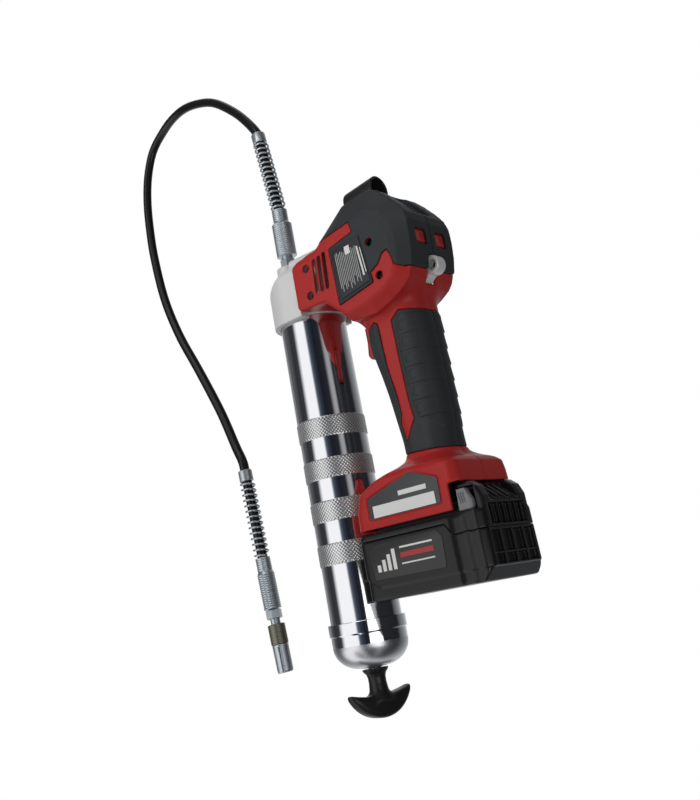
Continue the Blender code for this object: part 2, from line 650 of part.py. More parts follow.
def build_labels():
    plate = prism(inset(PLATE_OUTLINE, 1.2), HOUSING_HALF + GAP, HOUSING_HALF + 1.1)
    add("rating_plate", plate, "label")
    middle = Vector([sum(corner[i] for corner in BADGE_OUTLINE) / 5 for i in range(2)])
    for side, tag in ((1, "left"), (-1, "right")):
        top = [(x, y, side * (HALF_WIDTH - 0.2 - 0.5 * max(0, y - 74) / 13)) for x, y in BADGE_OUTLINE]
        pocket = loft([[(x, y, z + side * depth) for x, y, z in top] for depth in (-1.0, 3.0)])
        boolean(bpy.data.objects[f"housing_{tag}"], add(f"badge_pocket_{tag}", pocket))
        badge = loft([
            [(middle.x + (x - middle.x) * 0.985, middle.y + (y - middle.y) * 0.97, z + side * depth)
             for x, y, z in top]
            for depth in (-0.7, 0)
        ])
        add(f"foot_badge_{tag}", badge, "label")


# Trigger and electrics

def build_controls():
    face = (
        (70, 222), (56.2, 221.5), (55.8, 217.4), (58.0, 210.6), (58.8, 199), (65, 193.2),
        (74, 193.2), (82, 196), (82, 220),
    )
    add("trigger", prism(face, -8.4, 8.4), "red_plastic", "trigger", bevel=(1.6, 2))
    add("switch_body", box((88, 192, -11), (116.5, 222, 11)), "black_plastic", bevel=(1.0, 1))
    add("control_board", box((66, 88.2, -16), (118, 89.8, 16)), "board")


# Battery

def battery_sections(heights, shrink):
    """Sections of the pack, moved inwards by shrink."""
    x0, x1, half, radius = BATTERY_PLAN
    return [(y, x0 + shrink, x1 - shrink, half - shrink, radius - shrink) for y in heights]


def build_battery():
    x0, x1, half, radius = BATTERY_PLAN
    lower = [(10.0, x0 + 3.5, x1 - 2, half - 3, radius)] + battery_sections((13.5, 31.0), 0)
    case = add("battery_case_lower", stack(lower), "black_plastic", "battery")
    boolean(case, add("lower_hollow", stack(battery_sections((12.6, 50), 3))))
    upper = battery_sections((31.3, 53), 0) + [(58.5, x0 + 4, x1 - 2, half - 3, radius)]
    lid = add("battery_case_upper", stack(upper), "black_plastic", "battery")
    boolean(lid, add("battery_hump", prism(HUMP_OUTLINE, -30.5, 30.5)), "UNION")
    boolean(lid, add("rail_neck", box((45, 55, -24), (130, 70, 24))), "UNION")
    boolean(lid, add("rail_head", box((45, 65.8, -29), (130, 72.5, 29))), "UNION")
    boolean(lid, add("upper_hollow", stack(battery_sections((25, 52.5), 3))))
    cells = prism(cell_outline(5, 2, 9.1, 19.6, (52.4, 22.6)), -32.6, 32.6)
    add("cell_pack", cells, "cells", "battery")
    for side, tag in ((1, "left"), (-1, "right")):
        low, high = sorted((side * 27.0, side * 40))
        boolean(lid, add(f"latch_pocket_{tag}", box((129.2, 60.2, low), (141, 75.2, high))))
        low, high = sorted((side * 29.4, side * 33.8))
        latch = prism(LATCH_OUTLINE, low, high)
        add(f"battery_latch_{tag}", latch, "grey_plastic", f"latch_{tag}", bevel=(0.6, 1))


def cell_outline(columns, rows, radius, pitch, first):
    """Outline of round cells side by side, seen end on."""
    x0, y0 = first
    outline = []

    def arc(cx, cy, start, end):
        for k in range(7):
            angle = math.radians(start + (end - start) * k / 6)
            outline.append((cx + radius * math.cos(angle), cy + radius * math.sin(angle)))

    last = columns - 1
    for column in range(columns):
        arc(x0 + pitch * column, y0, 200 if column else 180, 340 if column < last else 360)
    for row in range(1, rows):
        arc(x0 + pitch * last, y0 + pitch * row, 0, 20)
    for column in reversed(range(columns)):
        top = y0 + pitch * (rows - 1)
        arc(x0 + pitch * column, top, 20 if column < last else 25, 160 if column else 180)
    return outline


# Hose and its fittings

def build_upper_fittings(upper):
    at = (HOSE_X, 0, 0)
    stem = add("hose_inlet", rod(7.2, 304.4, 315.5, "y", at, 6), "zinc")
    boolean(stem, add("inlet_thread", rod(4.9, 297.2, 306, "y", at, 20)), "UNION")
    boolean(stem, add("inlet_barb", rod(2.6, 314, 345, "y", at, 12)), "UNION")
    sleeve = (
        (3.0, 315.8), (9.4, 315.8), (9.4, 346), (7.4, 347), (7.4, 362), (4.5, 362), (4.5, 346.2),
        (3.0, 346.2),
    )
    add("crimp_sleeve_upper", lathe(sleeve, "y", at, 20), "zinc")
    guard = [upper @ point for point in helix(6.0, 0.95, 0, 75.5, 13, per_turn=9)]
    wire("spring_guard_upper", guard, 0.95, "zinc", 0)
    add("guard_ring_upper", tube(6.8, 5.2, 76.0, 87.0, "y", segments=20), "zinc", matrix=upper)


def build_lower_fittings(lower):
    add("guard_ring_lower", tube(6.6, 4.6, 0, 10.4, "y", segments=20), "zinc", matrix=lower)
    guard = [lower @ point for point in helix(6.0, 0.95, 10.8, 81.0, 13, per_turn=9)]
    wire("spring_guard_lower", guard, 0.95, "zinc", 0)
    sleeve = (
        (4.5, 81.4), (7.4, 81.4), (7.4, 95), (8.1, 96), (8.1, 126.5), (3.0, 126.5), (3.0, 96.2),
        (4.5, 96.2),
    )
    add("crimp_sleeve_lower", lathe(sleeve, "y", segments=20), "zinc", matrix=lower)
    nut = ((0, 116), (2.6, 116), (2.6, 126.8), (6.6, 126.8), (6.6, 140.5), (0, 140.5))
    add("coupler_stem", lathe(nut, "y", segments=6), "zinc", matrix=lower)
    coupler = (
        (0, 140.8), (7.8, 140.8), (7.8, 157), (7.2, 158.5), (7.2, 171), (5.8, 180.0), (2.5, 180.0),
        (2.5, 170), (0, 170),
    )
    add("grease_coupler", lathe(coupler, "y", segments=18), "dark_metal", matrix=lower)


def smooth(points, spacing):
    """Even points along a Catmull-Rom curve through the given ones."""
    ends = [points[0] * 2 - points[1]] + points + [points[-1] * 2 - points[-2]]
    fine = []
    for a, b, c, d in zip(ends, ends[1:], ends[2:], ends[3:]):
        for k in range(12):
            t = k / 12
            bend = (2 * a - 5 * b + 4 * c - d) * t ** 2 + (3 * b - a - 3 * c + d) * t ** 3
            fine.append(0.5 * (2 * b + (c - a) * t + bend))
    fine.append(points[-1])
    even = [fine[0]]
    for point in fine[1:-1]:
        if (point - even[-1]).length >= spacing:
            even.append(point)
    if (even[-1] - fine[-1]).length < spacing * 0.6:
        even.pop()
    return even + [fine[-1]]


def hose_points(upper, lower):
    """Centreline from inside one crimp sleeve to inside the other."""
    start = [Vector((HOSE_X, 347.0, 0)), Vector((HOSE_X, 360, 0))]
    start += [upper @ Vector((0, y, 0)) for y in (14, 34, 54, 74, 88)]
    route = [Vector(point) for point in HOSE_ROUTE[2:-2]]
    end = [lower @ Vector((0, y, 0)) for y in (-8, 8, 30, 52, 74, 95.6)]
    return smooth(start + route + end, 13.0)


def build_hose():
    upper = aimed(UPPER_END, UPPER_AIM)
    lower = aimed(LOWER_END, LOWER_AIM)
    build_upper_fittings(upper)
    build_lower_fittings(lower)
    wire("hose", hose_points(upper, lower), HOSE_R, "rubber", 3)


def main():
    clear_scene()
    add_pivots()
    build_barrel()
    build_follower()
    build_head()
    build_drive()
    build_housing()
    build_clip()
    build_labels()
    build_controls()
    build_battery()
    build_hose()


main()
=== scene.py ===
"""Looks of a cordless grease gun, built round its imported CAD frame.

Shapes are written in the tool's own frame, in millimetres: the barrel's axis is x = z = 0, y = 0 is
the rim of the end cap and +y runs to the pump head, +x is the rear of the tool (grip and battery)
and +z its left side, which faces up. place() carries that frame to the world, in metres.
"""

import json
import math

import bmesh
import bpy
import numpy as np
from mathutils import Matrix, Vector


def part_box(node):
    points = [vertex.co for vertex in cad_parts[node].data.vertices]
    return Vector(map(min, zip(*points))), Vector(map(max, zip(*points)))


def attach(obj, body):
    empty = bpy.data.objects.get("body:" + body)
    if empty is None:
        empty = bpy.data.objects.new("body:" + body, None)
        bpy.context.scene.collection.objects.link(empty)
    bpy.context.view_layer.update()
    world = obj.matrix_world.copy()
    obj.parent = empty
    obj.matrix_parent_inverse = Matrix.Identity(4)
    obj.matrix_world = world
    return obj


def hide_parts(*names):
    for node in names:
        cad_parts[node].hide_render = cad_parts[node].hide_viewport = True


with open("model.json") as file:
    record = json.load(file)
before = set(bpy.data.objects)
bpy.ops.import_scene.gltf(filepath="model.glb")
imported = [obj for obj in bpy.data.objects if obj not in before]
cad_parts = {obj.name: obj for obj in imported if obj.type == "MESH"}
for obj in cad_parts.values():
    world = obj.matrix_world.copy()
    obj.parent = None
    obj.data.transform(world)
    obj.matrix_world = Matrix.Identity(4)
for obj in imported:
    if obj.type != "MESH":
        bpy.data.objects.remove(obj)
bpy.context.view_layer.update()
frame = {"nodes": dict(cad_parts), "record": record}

MM = 0.001
barrel_low, barrel_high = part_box("barrel_tube")
ORIGIN = Vector((
    (barrel_low.x + barrel_high.x) / 2,
    barrel_low.y + 4 * MM,
    (barrel_low.z + barrel_high.z) / 2,
))
TO_WORLD = Matrix.Translation(ORIGIN) @ Matrix.Scale(MM, 4)

# Driving sizes in millimetres, as in the CAD
BARREL_R = 28.5
BARREL_TOP = 255.0
BAND_EDGES = ((43.1, 59.9), (76.1, 92.9), (109.3, 125.8), (142.3, 159.3))
HEAD_BOTTOM = 243.8
HOSE_X = -16.0
HOSE_R = 4.6
HALF_SEAM = 0.12  # half the gap between the two moulded halves
BATTERY_HALF = 38.0
SIDES = ((1, "left"), (-1, "right"))
SCREW_SPOTS = ((32.5, 280.4), (32.5, 256.3), (102.4, 277.7), (105.6, 248.2))


def place(point):
    """A point of the tool's frame in the world."""
    return ORIGIN + Vector(point) * MM


# ---- camera and light

def add_camera():
    """Looks at the tool's left side, from its rear and from beyond the battery."""
    right = Vector((0.71402, -0.16584, -0.68017))
    up = Vector((0.36218, 0.91892, 0.15617))
    back = right.cross(up)
    camera = bpy.data.objects.new("camera", bpy.data.cameras.new("camera"))
    bpy.context.scene.collection.objects.link(camera)
    columns = [(*axis, 0.0) for axis in (right, up, back)]
    columns.append((*place((534.3, 4.5, 639.0)), 1.0))
    camera.matrix_world = Matrix(columns).transposed()
    lens = camera.data
    lens.sensor_fit = "VERTICAL"
    lens.sensor_height = 24.0
    lens.lens = 29.511
    lens.shift_x = 0.0649
    lens.shift_y = -0.1969
    lens.clip_start = 0.01
    bpy.context.scene.camera = camera


def area_light(name, where, target, size, power):
    light = bpy.data.lights.new(name, "AREA")
    light.shape = "RECTANGLE"
    light.size, light.size_y = size
    light.energy = power
    holder = bpy.data.objects.new(name, light)
    bpy.context.scene.collection.objects.link(holder)
    holder.location = place(where)
    aim = place(target) - holder.location
    holder.rotation_euler = aim.to_track_quat("-Z", "Y").to_euler()
    return holder


def add_node(tree, kind, inputs=None, **settings):
    """A shader node with its settings, and with constants on some of its inputs."""
    node = tree.nodes.new("ShaderNode" + kind)
    for name, value in settings.items():
        setattr(node, name, value)
    for socket, value in (inputs or {}).items():
        node.inputs[socket].default_value = value
    return node


def connect(tree, *links):
    """Links given as (node, its output, node, its input)."""
    for source, output, target, socket in links:
        tree.links.new(source.outputs[output], target.inputs[socket])


WHITE = (1, 1, 1, 1)
# What polished metal sees round the barrel's axis: share of a turn, and colour
BANDS = (
    (0.0, (0.09, 0.09, 0.095)), (0.083, (0.42, 0.42, 0.43)), (0.139, (0.85, 0.86, 0.87)),
    (0.267, (0.27, 0.28, 0.29)), (0.328, (0.14, 0.14, 0.15)), (0.369, (0.015, 0.015, 0.018)),
    (0.532, (0.02, 0.02, 0.024)), (0.552, (0.36, 0.36, 0.37)), (0.575, (0.32, 0.32, 0.33)),
    (0.60, (0.02, 0.02, 0.025)), (0.665, (0.010, 0.012, 0.018)), (0.70, (0.035, 0.045, 0.065)),
    (0.722, (0.10, 0.12, 0.15)), (0.738, (1.0, 1.0, 1.0)), (0.855, (1.0, 1.0, 1.0)),
    (0.878, (0.42, 0.43, 0.45)), (0.895, (0.04, 0.042, 0.048)), (0.95, (0.03, 0.032, 0.036)),
    (1.0, (0.09, 0.09, 0.095)),
)


def add_world():
    """White studio. Glossy surfaces see dark and bright bands that run along the barrel."""
    world = bpy.data.worlds.new("studio")
    bpy.context.scene.world = world
    world.use_nodes = True
    tree = world.node_tree
    tree.nodes.clear()
    out = add_node(tree, "OutputWorld")
    plain = add_node(tree, "Background", {"Color": WHITE, "Strength": 0.36})
    banded = add_node(tree, "Background")
    white = add_node(tree, "Background", {"Color": WHITE, "Strength": 1.0})
    where = add_node(tree, "TexCoord")
    split = add_node(tree, "SeparateXYZ")
    angle = add_node(tree, "Math", operation="ARCTAN2")
    share = add_node(tree, "Math", {1: 0.5 / math.pi, 2: 0.5}, operation="MULTIPLY_ADD")
    # Higher up the barrel the dark edge on the left is wider.
    wider = add_node(tree, "MapRange", {"From Min": 0.745, "From Max": 0.785, "To Max": 0.13})
    moved = add_node(tree, "Math", operation="MULTIPLY_ADD")
    ramp = add_node(tree, "ValToRGB")
    first, last = ramp.color_ramp.elements
    for element, (position, colour) in ((first, BANDS[0]), (last, BANDS[-1])):
        element.position = position
        element.color = (*colour, 1)
    for position, colour in BANDS[1:-1]:
        ramp.color_ramp.elements.new(position).color = (*colour, 1)
    path = add_node(tree, "LightPath")
    glossy = add_node(tree, "MixShader")
    seen = add_node(tree, "MixShader")
    connect(
        tree,
        (where, "Generated", split, 0),
        (split, "Z", angle, 0),
        (split, "X", angle, 1),
        (angle, 0, share, 0),
        (share, 0, wider, "Value"),
        (wider, "Result", moved, 0),
        (split, "Y", moved, 1),
        (share, 0, moved, 2),
        (moved, 0, ramp, "Fac"),
        (ramp, "Color", banded, "Color"),
        (path, "Is Glossy Ray", glossy, "Fac"),
        (plain, 0, glossy, 1),
        (banded, 0, glossy, 2),
        (path, "Is Camera Ray", seen, "Fac"),
        (glossy, 0, seen, 1),
        (white, 0, seen, 2),
        (seen, 0, out, "Surface"),
    )


def add_floor():
    """A plain pale floor, evenly bright, that takes no part in the lighting of the tool."""
    bpy.ops.mesh.primitive_plane_add(size=60, location=(0, 0, -0.001))
    floor = bpy.context.object
    floor.name = "floor"
    pale = bpy.data.materials.new("floor")
    pale.use_nodes = True
    tree = pale.node_tree
    tree.nodes.clear()
    glow = add_node(tree, "Emission", {"Color": WHITE, "Strength": 1.0})
    result = add_node(tree, "OutputMaterial")
    connect(tree, (glow, 0, result, "Surface"))
    floor.data.materials.append(pale)
    for ray in ("diffuse", "glossy", "transmission", "shadow"):
        setattr(floor, f"visible_{ray}", False)


def add_studio():
    add_world()
    key = area_light("key", (-250, 420, 700), (60, 180, 0), (0.5, 0.7), 3.6)
    key.visible_glossy = False
    area_light("top", (60, 900, 480), (80, 150, 0), (0.6, 0.3), 0.6)
    area_light("side", (700, -150, 420), (80, 150, 0), (0.35, 0.6), 1.0)
    add_floor()
    view = bpy.context.scene.view_settings
    view.view_transform = "Standard"
    view.look = "None"


# ---- materials

# Colour, roughness, metallic, grain (bump in millimetres, scale), drift of the colour, other settings
FINISHES = {
    "chrome": ((0.88, 0.89, 0.92), 0.07, 1.0, None, 0.01),
    "satin_chrome": ((0.82, 0.83, 0.86), 0.33, 1.0, None, 0.02),
    # The knurl's colour follows its ridges' height, lighter on the ridges and darker in the valleys: painted
    # highlight and painted shade of the relief.
    "knurl": ((0.70, 0.71, 0.73), 0.24, 0.75, None, 0.64, {"painted_light_attribute": "height"}),
    "head_metal": ((0.59, 0.595, 0.59), 0.46, 0.15, (0.05, 700), 0.03),
    "zinc": ((0.66, 0.72, 0.76), 0.38, 0.9, (0.01, 1500), 0.06),
    "coupler_metal": ((0.27, 0.26, 0.21), 0.42, 0.85, (0.03, 1200), 0.2),
    "steel": ((0.55, 0.55, 0.57), 0.28, 1.0, (0.01, 1500), 0.05),
    "screw_black": ((0.07, 0.07, 0.075), 0.3, 0.8, (0.01, 1500), 0.08),
    "gearbox_metal": ((0.6, 0.6, 0.61), 0.45, 0.9, (0.05, 600), 0.05),
    "seal": ((0.02, 0.02, 0.02), 0.6, 0.0, (0.02, 900), 0.1),
    "red_shell": ((0.345, 0.017, 0.015), 0.36, 0.0, (0.012, 2200), 0.05, {"specular": 0.26}),
    "red_control": ((0.30, 0.014, 0.012), 0.3, 0.0, (0.008, 2000), 0.06, {"coat": 0.3}),
    "soft_black": ((0.026, 0.029, 0.032), 0.5, 0.0, (0.03, 1700), 0.12, {"specular": 0.3}),
    "black_plastic": ((0.012, 0.012, 0.013), 0.36, 0.0, (0.015, 1500), 0.15, {"specular": 0.45}),
    "battery_black": ((0.0085, 0.0085, 0.0095), 0.3, 0.0, (0.015, 1800), 0.12, {"specular": 0.4}),
    "latch_grey": ((0.16, 0.16, 0.17), 0.3, 0.0, (0.01, 1500), 0.08),
    "cell_sleeve": ((0.06, 0.2, 0.4), 0.35, 0.0, (0.01, 800), 0.1),
    "board_green": ((0.02, 0.13, 0.05), 0.4, 0.0, (0.02, 900), 0.15),
    "label_grey": ((0.048, 0.050, 0.052), 0.42, 0.0, (0.01, 1500), 0.06),
    "plate_dark": ((0.022, 0.024, 0.026), 0.4, 0.0, (0.01, 1500), 0.08, {"specular": 0.35}),
    "battery_label": ((0.034, 0.033, 0.034), 0.35, 0.0, (0.01, 1500), 0.06, {"specular": 0.4}),
    "mark_white": ((0.62, 0.62, 0.61), 0.45, 0.0, (0.006, 1500), 0.05),
    "mark_grey": ((0.30, 0.30, 0.30), 0.45, 0.0, (0.006, 1500), 0.05),
    "mark_red": ((0.36, 0.03, 0.03), 0.45, 0.0, (0.006, 1500), 0.05),
    "eyelet_metal": ((0.66, 0.66, 0.65), 0.4, 0.35, (0.03, 900), 0.05),
    "hose_rubber": ((0.006, 0.006, 0.0065), 0.28, 0.0, (0.004, 900), 0.15),
}
# Finishes that are not slots of the record, and the slot that each belongs to
SLOTS = {
    "screw_black": "steel", "knurl": "chrome", "satin_chrome": "chrome",
    **dict.fromkeys(("plate_dark", "battery_label", "mark_white", "mark_grey", "mark_red"), "label_grey"),
}
ROUGHNESS_DRIFT = 0.08


def material(name, colour, roughness, metallic, grain, vary, more=None):
    """Colour and roughness drift a little, or the colour follows a mesh attribute as painted shade and
    highlight; the bump holds a grain.
    """
    more = {"coat": 0.0, "specular": 0.5, "painted_light_attribute": None, **(more or {})}
    made = bpy.data.materials.new(name)
    made.use_nodes = True
    tree = made.node_tree
    shader = tree.nodes["Principled BSDF"]
    shader.inputs["Metallic"].default_value = metallic
    shader.inputs["Coat Weight"].default_value = more["coat"]
    shader.inputs["Coat Roughness"].default_value = 0.25
    shader.inputs["Specular IOR Level"].default_value = more["specular"]
    where = add_node(tree, "TexCoord")
    drift = add_node(tree, "TexNoise", {"Scale": 38.0, "Detail": 5.0})
    tint = add_node(tree, "Mix", data_type="RGBA")
    tint.inputs["A"].default_value = (*[c * (1 - vary) for c in colour], 1)
    tint.inputs["B"].default_value = (*[min(1, c * (1 + vary)) for c in colour], 1)
    # An attribute drives the colour as painted shade and highlight; otherwise the noise gives a random drift.
    source = add_node(tree, "Attribute", attribute_name=more["painted_light_attribute"]) if more["painted_light_attribute"] else drift
    rough = add_node(tree, "MapRange", {
        "To Min": max(0.02, roughness * (1 - ROUGHNESS_DRIFT)),
        "To Max": min(1.0, roughness * (1 + ROUGHNESS_DRIFT)),
    })
    connect(
        tree,
        (where, "Object", drift, "Vector"),
        (source, "Fac", tint, "Factor"),
        (tint, "Result", shader, "Base Color"),
        (drift, "Fac", rough, "Value"),
        (rough, "Result", shader, "Roughness"),
    )
    if grain:
        depth, scale = grain
        grit = add_node(tree, "TexNoise", {"Scale": scale, "Detail": 3.0})
        bump = add_node(tree, "Bump", {"Strength": 0.6, "Distance": depth * MM})
        connect(
            tree,
            (where, "Object", grit, "Vector"),
            (grit, "Fac", bump, "Height"),
            (bump, "Normal", shader, "Normal"),
        )
    return made


MATERIALS = {name: material(name, *look) for name, look in FINISHES.items()}


def dress_cad():
    """Every CAD node gets its slot's material."""
    slots = {row["node"]: row["material_slot"] for row in frame["record"]["subparts"]}
    for name, node in frame["nodes"].items():
        node.data.materials.clear()
        node.data.materials.append(MATERIALS[slots[name]])


# ---- making pieces

def body_of(node):
    return next(body for body, nodes in frame["record"]["behaviour"]["bodies"].items() if node in nodes)


def finish_piece(obj, nodes, finish, body=None):
    """Materials, body, and the CAD nodes that the piece stands for."""
    bpy.context.scene.collection.objects.link(obj)
    obj.data.materials.append(MATERIALS[finish])
    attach(obj, body or (body_of(nodes[0]) if nodes else "tool"))
    if nodes:
        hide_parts(*nodes)
    return obj


def mesh_piece(name, points, faces, nodes, finish, matrix=None):
    """A piece from arrays of points (millimetres) and of faces with equally many corners."""
    mesh = bpy.data.meshes.new(name)
    points = np.asarray(points, float)
    faces = np.asarray(faces, np.int32)
    carry = np.array(TO_WORLD @ (matrix or Matrix.Identity(4)))
    points = points @ carry[:3, :3].T + carry[:3, 3]
    mesh.vertices.add(len(points))
    mesh.vertices.foreach_set("co", points.astype(np.float32).ravel())
    corners = faces.shape[1]
    mesh.loops.add(faces.size)
    mesh.loops.foreach_set("vertex_index", faces.ravel())
    mesh.polygons.add(len(faces))
    mesh.polygons.foreach_set("loop_start", np.arange(len(faces), dtype=np.int32) * corners)
    mesh.update(calc_edges=True)
    mesh.shade_smooth()
    return finish_piece(bpy.data.objects.new(name, mesh), nodes, finish)


def bmesh_piece(name, bm, nodes, finish, matrix=None, sharp=35, body=None):
    """A piece from a bmesh in millimetres."""
    bmesh.ops.transform(bm, matrix=TO_WORLD @ (matrix or Matrix.Identity(4)), verts=bm.verts)
    bmesh.ops.recalc_face_normals(bm, faces=bm.faces)
    mesh = bpy.data.meshes.new(name)
    bm.to_mesh(mesh)
    bm.free()
    mesh.shade_smooth()
    mesh.set_sharp_from_angle(angle=math.radians(sharp))
    return finish_piece(bpy.data.objects.new(name, mesh), nodes, finish, body)


def turned(name, profile, nodes, finish, matrix=None, segments=96, sharp=35):
    """A closed (radius, y) profile turned about the y axis."""
    bm = bmesh.new()
    rings = []
    for radius, y in profile:
        angles = [2 * math.pi * k / segments for k in range(segments if radius > 0 else 1)]
        rings.append([bm.verts.new((radius * math.cos(a), y, radius * math.sin(a))) for a in angles])
    for low, high in zip(rings, rings[1:] + rings[:1]):
        if len(low) == len(high) == 1:
            continue
        for k in range(segments):
            corners = [ring[i % len(ring)] for ring, i in ((low, k), (low, k + 1), (high, k + 1), (high, k))]
            bm.faces.new(list(dict.fromkeys(corners)))
    return bmesh_piece(name, bm, nodes, finish, matrix, sharp)


def ribs(low, high, radius, depth, pitch):
    """Profile points of round ribs along a sleeve, from low to high."""
    count = max(2, round(abs(high - low) / pitch))
    steps = 4 * count
    return [
        (radius - depth * (0.5 - 0.5 * math.cos(2 * math.pi * k / 4)), low + (high - low) * k / steps)
        for k in range(steps + 1)
    ]


def aimed(start, end):
    """Matrix that carries +y from the origin onto the line from start to end."""
    start, end = Vector(start), Vector(end)
    turn = Vector((0, 1, 0)).rotation_difference(end - start).to_matrix().to_4x4()
    return Matrix.Translation(start) @ turn


# ---- soft solids from distance fields

class Grid:
    """Sample points of a block of space, in millimetres."""

    def __init__(self, low, high, step):
        self.low = np.array(low, np.float32)
        self.step = step
        counts = [int(math.ceil((b - a) / step)) + 1 for a, b in zip(low, high)]
        lines = [
            np.float32(start) + np.float32(step) * np.arange(count, dtype=np.float32)
            for start, count in zip(low, counts)
        ]
        self.x = lines[0][:, None, None]
        self.y = lines[1][None, :, None]
        self.z = lines[2][None, None, :]
        self.shape = tuple(counts)


def join(a, b, soft):
    """Union of two fields, with a fillet of about soft millimetres."""
    h = np.maximum(soft - np.abs(a - b), 0) / soft
    return np.minimum(a, b) - h * h * soft / 4


def meet(a, b, soft):
    """Intersection of two fields, with a rounded edge."""
    return -join(-a, -b, soft)


def cut(a, b, soft):
    """What is in a and not in b."""
    return -join(-a, b, soft)


def polygon(u, v, points):
    """Signed distance in a plane to a polygon, negative inside."""
    best = np.float32(1e9)
    inside = np.zeros(np.broadcast(u, v).shape, bool)
    for (au, av), (bu, bv) in zip(points, points[1:] + points[:1]):
        eu, ev = bu - au, bv - av
        wu, wv = u - au, v - av
        t = np.clip((wu * eu + wv * ev) / (eu * eu + ev * ev), 0, 1)
        best = np.minimum(best, (wu - t * eu) ** 2 + (wv - t * ev) ** 2)
        if ev:
            inside ^= ((av > v) != (bv > v)) & (u < au + wv * eu / ev)
    distance = np.sqrt(best)
    return np.where(inside, -distance, distance).astype(np.float32)


def rounded_polygon(u, v, points, radius):
    """A polygon whose outer corners are rounded."""
    return polygon(u, v, inset(points, radius)) - radius


def inset(points, distance):
    """Moves each side of a counter-clockwise polygon inwards."""
    moved = []
    for before, here, after in zip(points[-1:] + points[:-1], points, points[1:] + points[:1]):
        first = (Vector(here) - Vector(before)).normalized()
        second = (Vector(after) - Vector(here)).normalized()
        normal = Vector((-first.y, first.x))
        bisector = (normal + Vector((-second.y, second.x))).normalized()
        moved.append(tuple(Vector(here) + bisector * (distance / max(bisector.dot(normal), 0.5))))
    return moved


def disc(g, x, y, radius):
    """An endless cylinder along z."""
    return np.hypot(g.x - x, g.y - y) - radius


def span(line, low, high):
    """The space between two levels of a line of samples."""
    return np.maximum(low - line, line - high)


def block(g, low, high, radius=0.5):
    """A box with rounded edges."""
    total, inner = 0, -1e9
    for axis, a, b in zip((g.x, g.y, g.z), low, high):
        d = np.abs(axis - (a + b) / 2) - (b - a) / 2 + radius
        total = total + np.maximum(d, 0) ** 2
        inner = np.maximum(inner, d)
    return np.sqrt(total) + np.minimum(inner, 0) - radius


def post(g, x, radius, low, high, soft=0.6):
    """A cylinder along y, in the plane z = 0."""
    return meet(np.hypot(g.x - x, g.z) - radius, span(g.y, low, high), soft)


def eased(line, stops, values):
    """A value that changes along a line of samples, straight between its stops."""
    return np.interp(line, stops, values).astype(np.float32)


def slope(g, nx, ny, nz, through):
    """Half-space whose outward normal is given, through a point."""
    size = math.sqrt(nx * nx + ny * ny + nz * nz)
    px, py, pz = through
    return (nx * (g.x - px) + ny * (g.y - py) + nz * (g.z - pz)) / size


def tower(g, sections, smooth=0.0):
    """A column up the tool with rounded-rectangle sections (y, x0, x1, half_z, radius)."""
    y = g.y.ravel()
    sections = sorted(sections)
    rows = []
    for i in range(1, 5):
        row = np.interp(y, [s[0] for s in sections], [s[i] for s in sections])
        if smooth:
            width = max(1, int(smooth / g.step)) | 1
            row = np.convolve(np.pad(row, width // 2, mode="edge"), np.ones(width) / width, "valid")
        rows.append(row.astype(np.float32)[None, :, None])
    x0, x1, half, radius = rows
    qx = np.abs(g.x - (x0 + x1) / 2) - (x1 - x0) / 2 + radius
    qz = np.abs(g.z) - half + radius
    corner = np.hypot(np.maximum(qx, 0), np.maximum(qz, 0))
    return corner + np.minimum(np.maximum(qx, qz), 0) - radius


def part_of(array, *choices):
    """A view of an array, sliced along some of its axes."""
    index = [slice(None)] * 3
    for axis, choice in choices:
        index[axis] = choice
    return array[tuple(index)]


def surface(field, g):
    """Points and quads of the surface where a field is zero (naive surface nets)."""
    field = np.broadcast_to(field, g.shape).astype(np.float32)
    ends = (slice(None, -1), slice(1, None))
    cells = tuple(n - 1 for n in g.shape)
    count = np.zeros(cells, np.float32)
    total = [np.zeros(cells, np.float32) for _ in range(3)]
    crossings = []
    for axis, first, second in ((0, 1, 2), (1, 0, 2), (2, 0, 1)):
        a, b = (part_of(field, (axis, end)) for end in ends)
        crosses = (a < 0) != (b < 0)
        t = np.where(crosses, a / np.where(crosses, a - b, 1), 0).astype(np.float32)
        crossings.append((axis, first, second, crosses))
        for du in (0, 1):
            for dv in (0, 1):
                edge = ((first, ends[du]), (second, ends[dv]))
                hit = part_of(crosses, *edge)
                count += hit
                total[axis] += part_of(t, *edge)
                if du:
                    total[first] += hit
                if dv:
                    total[second] += hit
    used = count > 0
    index = np.full(cells, -1, np.int64)
    index[used] = np.arange(int(used.sum()))
    offset = np.stack([part[used] / count[used] for part in total], axis=1)
    points = g.low + (np.argwhere(used).astype(np.float32) + offset) * g.step
    quads = []
    for axis, first, second, crosses in crossings:
        spots = np.argwhere(part_of(crosses, (first, slice(1, -1)), (second, slice(1, -1))))
        spots[:, [first, second]] += 1
        corners = []
        for du, dv in ((1, 1), (0, 1), (0, 0), (1, 0)):
            cell = spots.copy()
            cell[:, first] -= du
            cell[:, second] -= dv
            corners.append(index[tuple(cell.T)])
        quad = np.stack(corners, axis=1)
        flip = (field[tuple(spots.T)] < 0) != (axis != 1)
        quad[flip] = quad[flip][:, ::-1]
        quads.append(quad)
    quads = np.concatenate(quads)
    return points, quads[(quads >= 0).all(axis=1)]


def solid(name, field, g, nodes, finish, matrix=None, keep=1.0, mirror=False):
    """A piece whose surface is a field's zero level, with a share of its faces kept."""
    points, quads = surface(field, g)
    if mirror:
        points = points * np.array((1, 1, -1), np.float32)
        quads = quads[:, ::-1]
    made = mesh_piece(name, points, quads, nodes, finish, matrix)
    if keep < 1:
        thin = made.modifiers.new("thin", "DECIMATE")
        thin.ratio = keep
    return made


def fine(step):
    """Grid step, used as given."""
    return step * 1.0


# ---- barrel, cap and follower

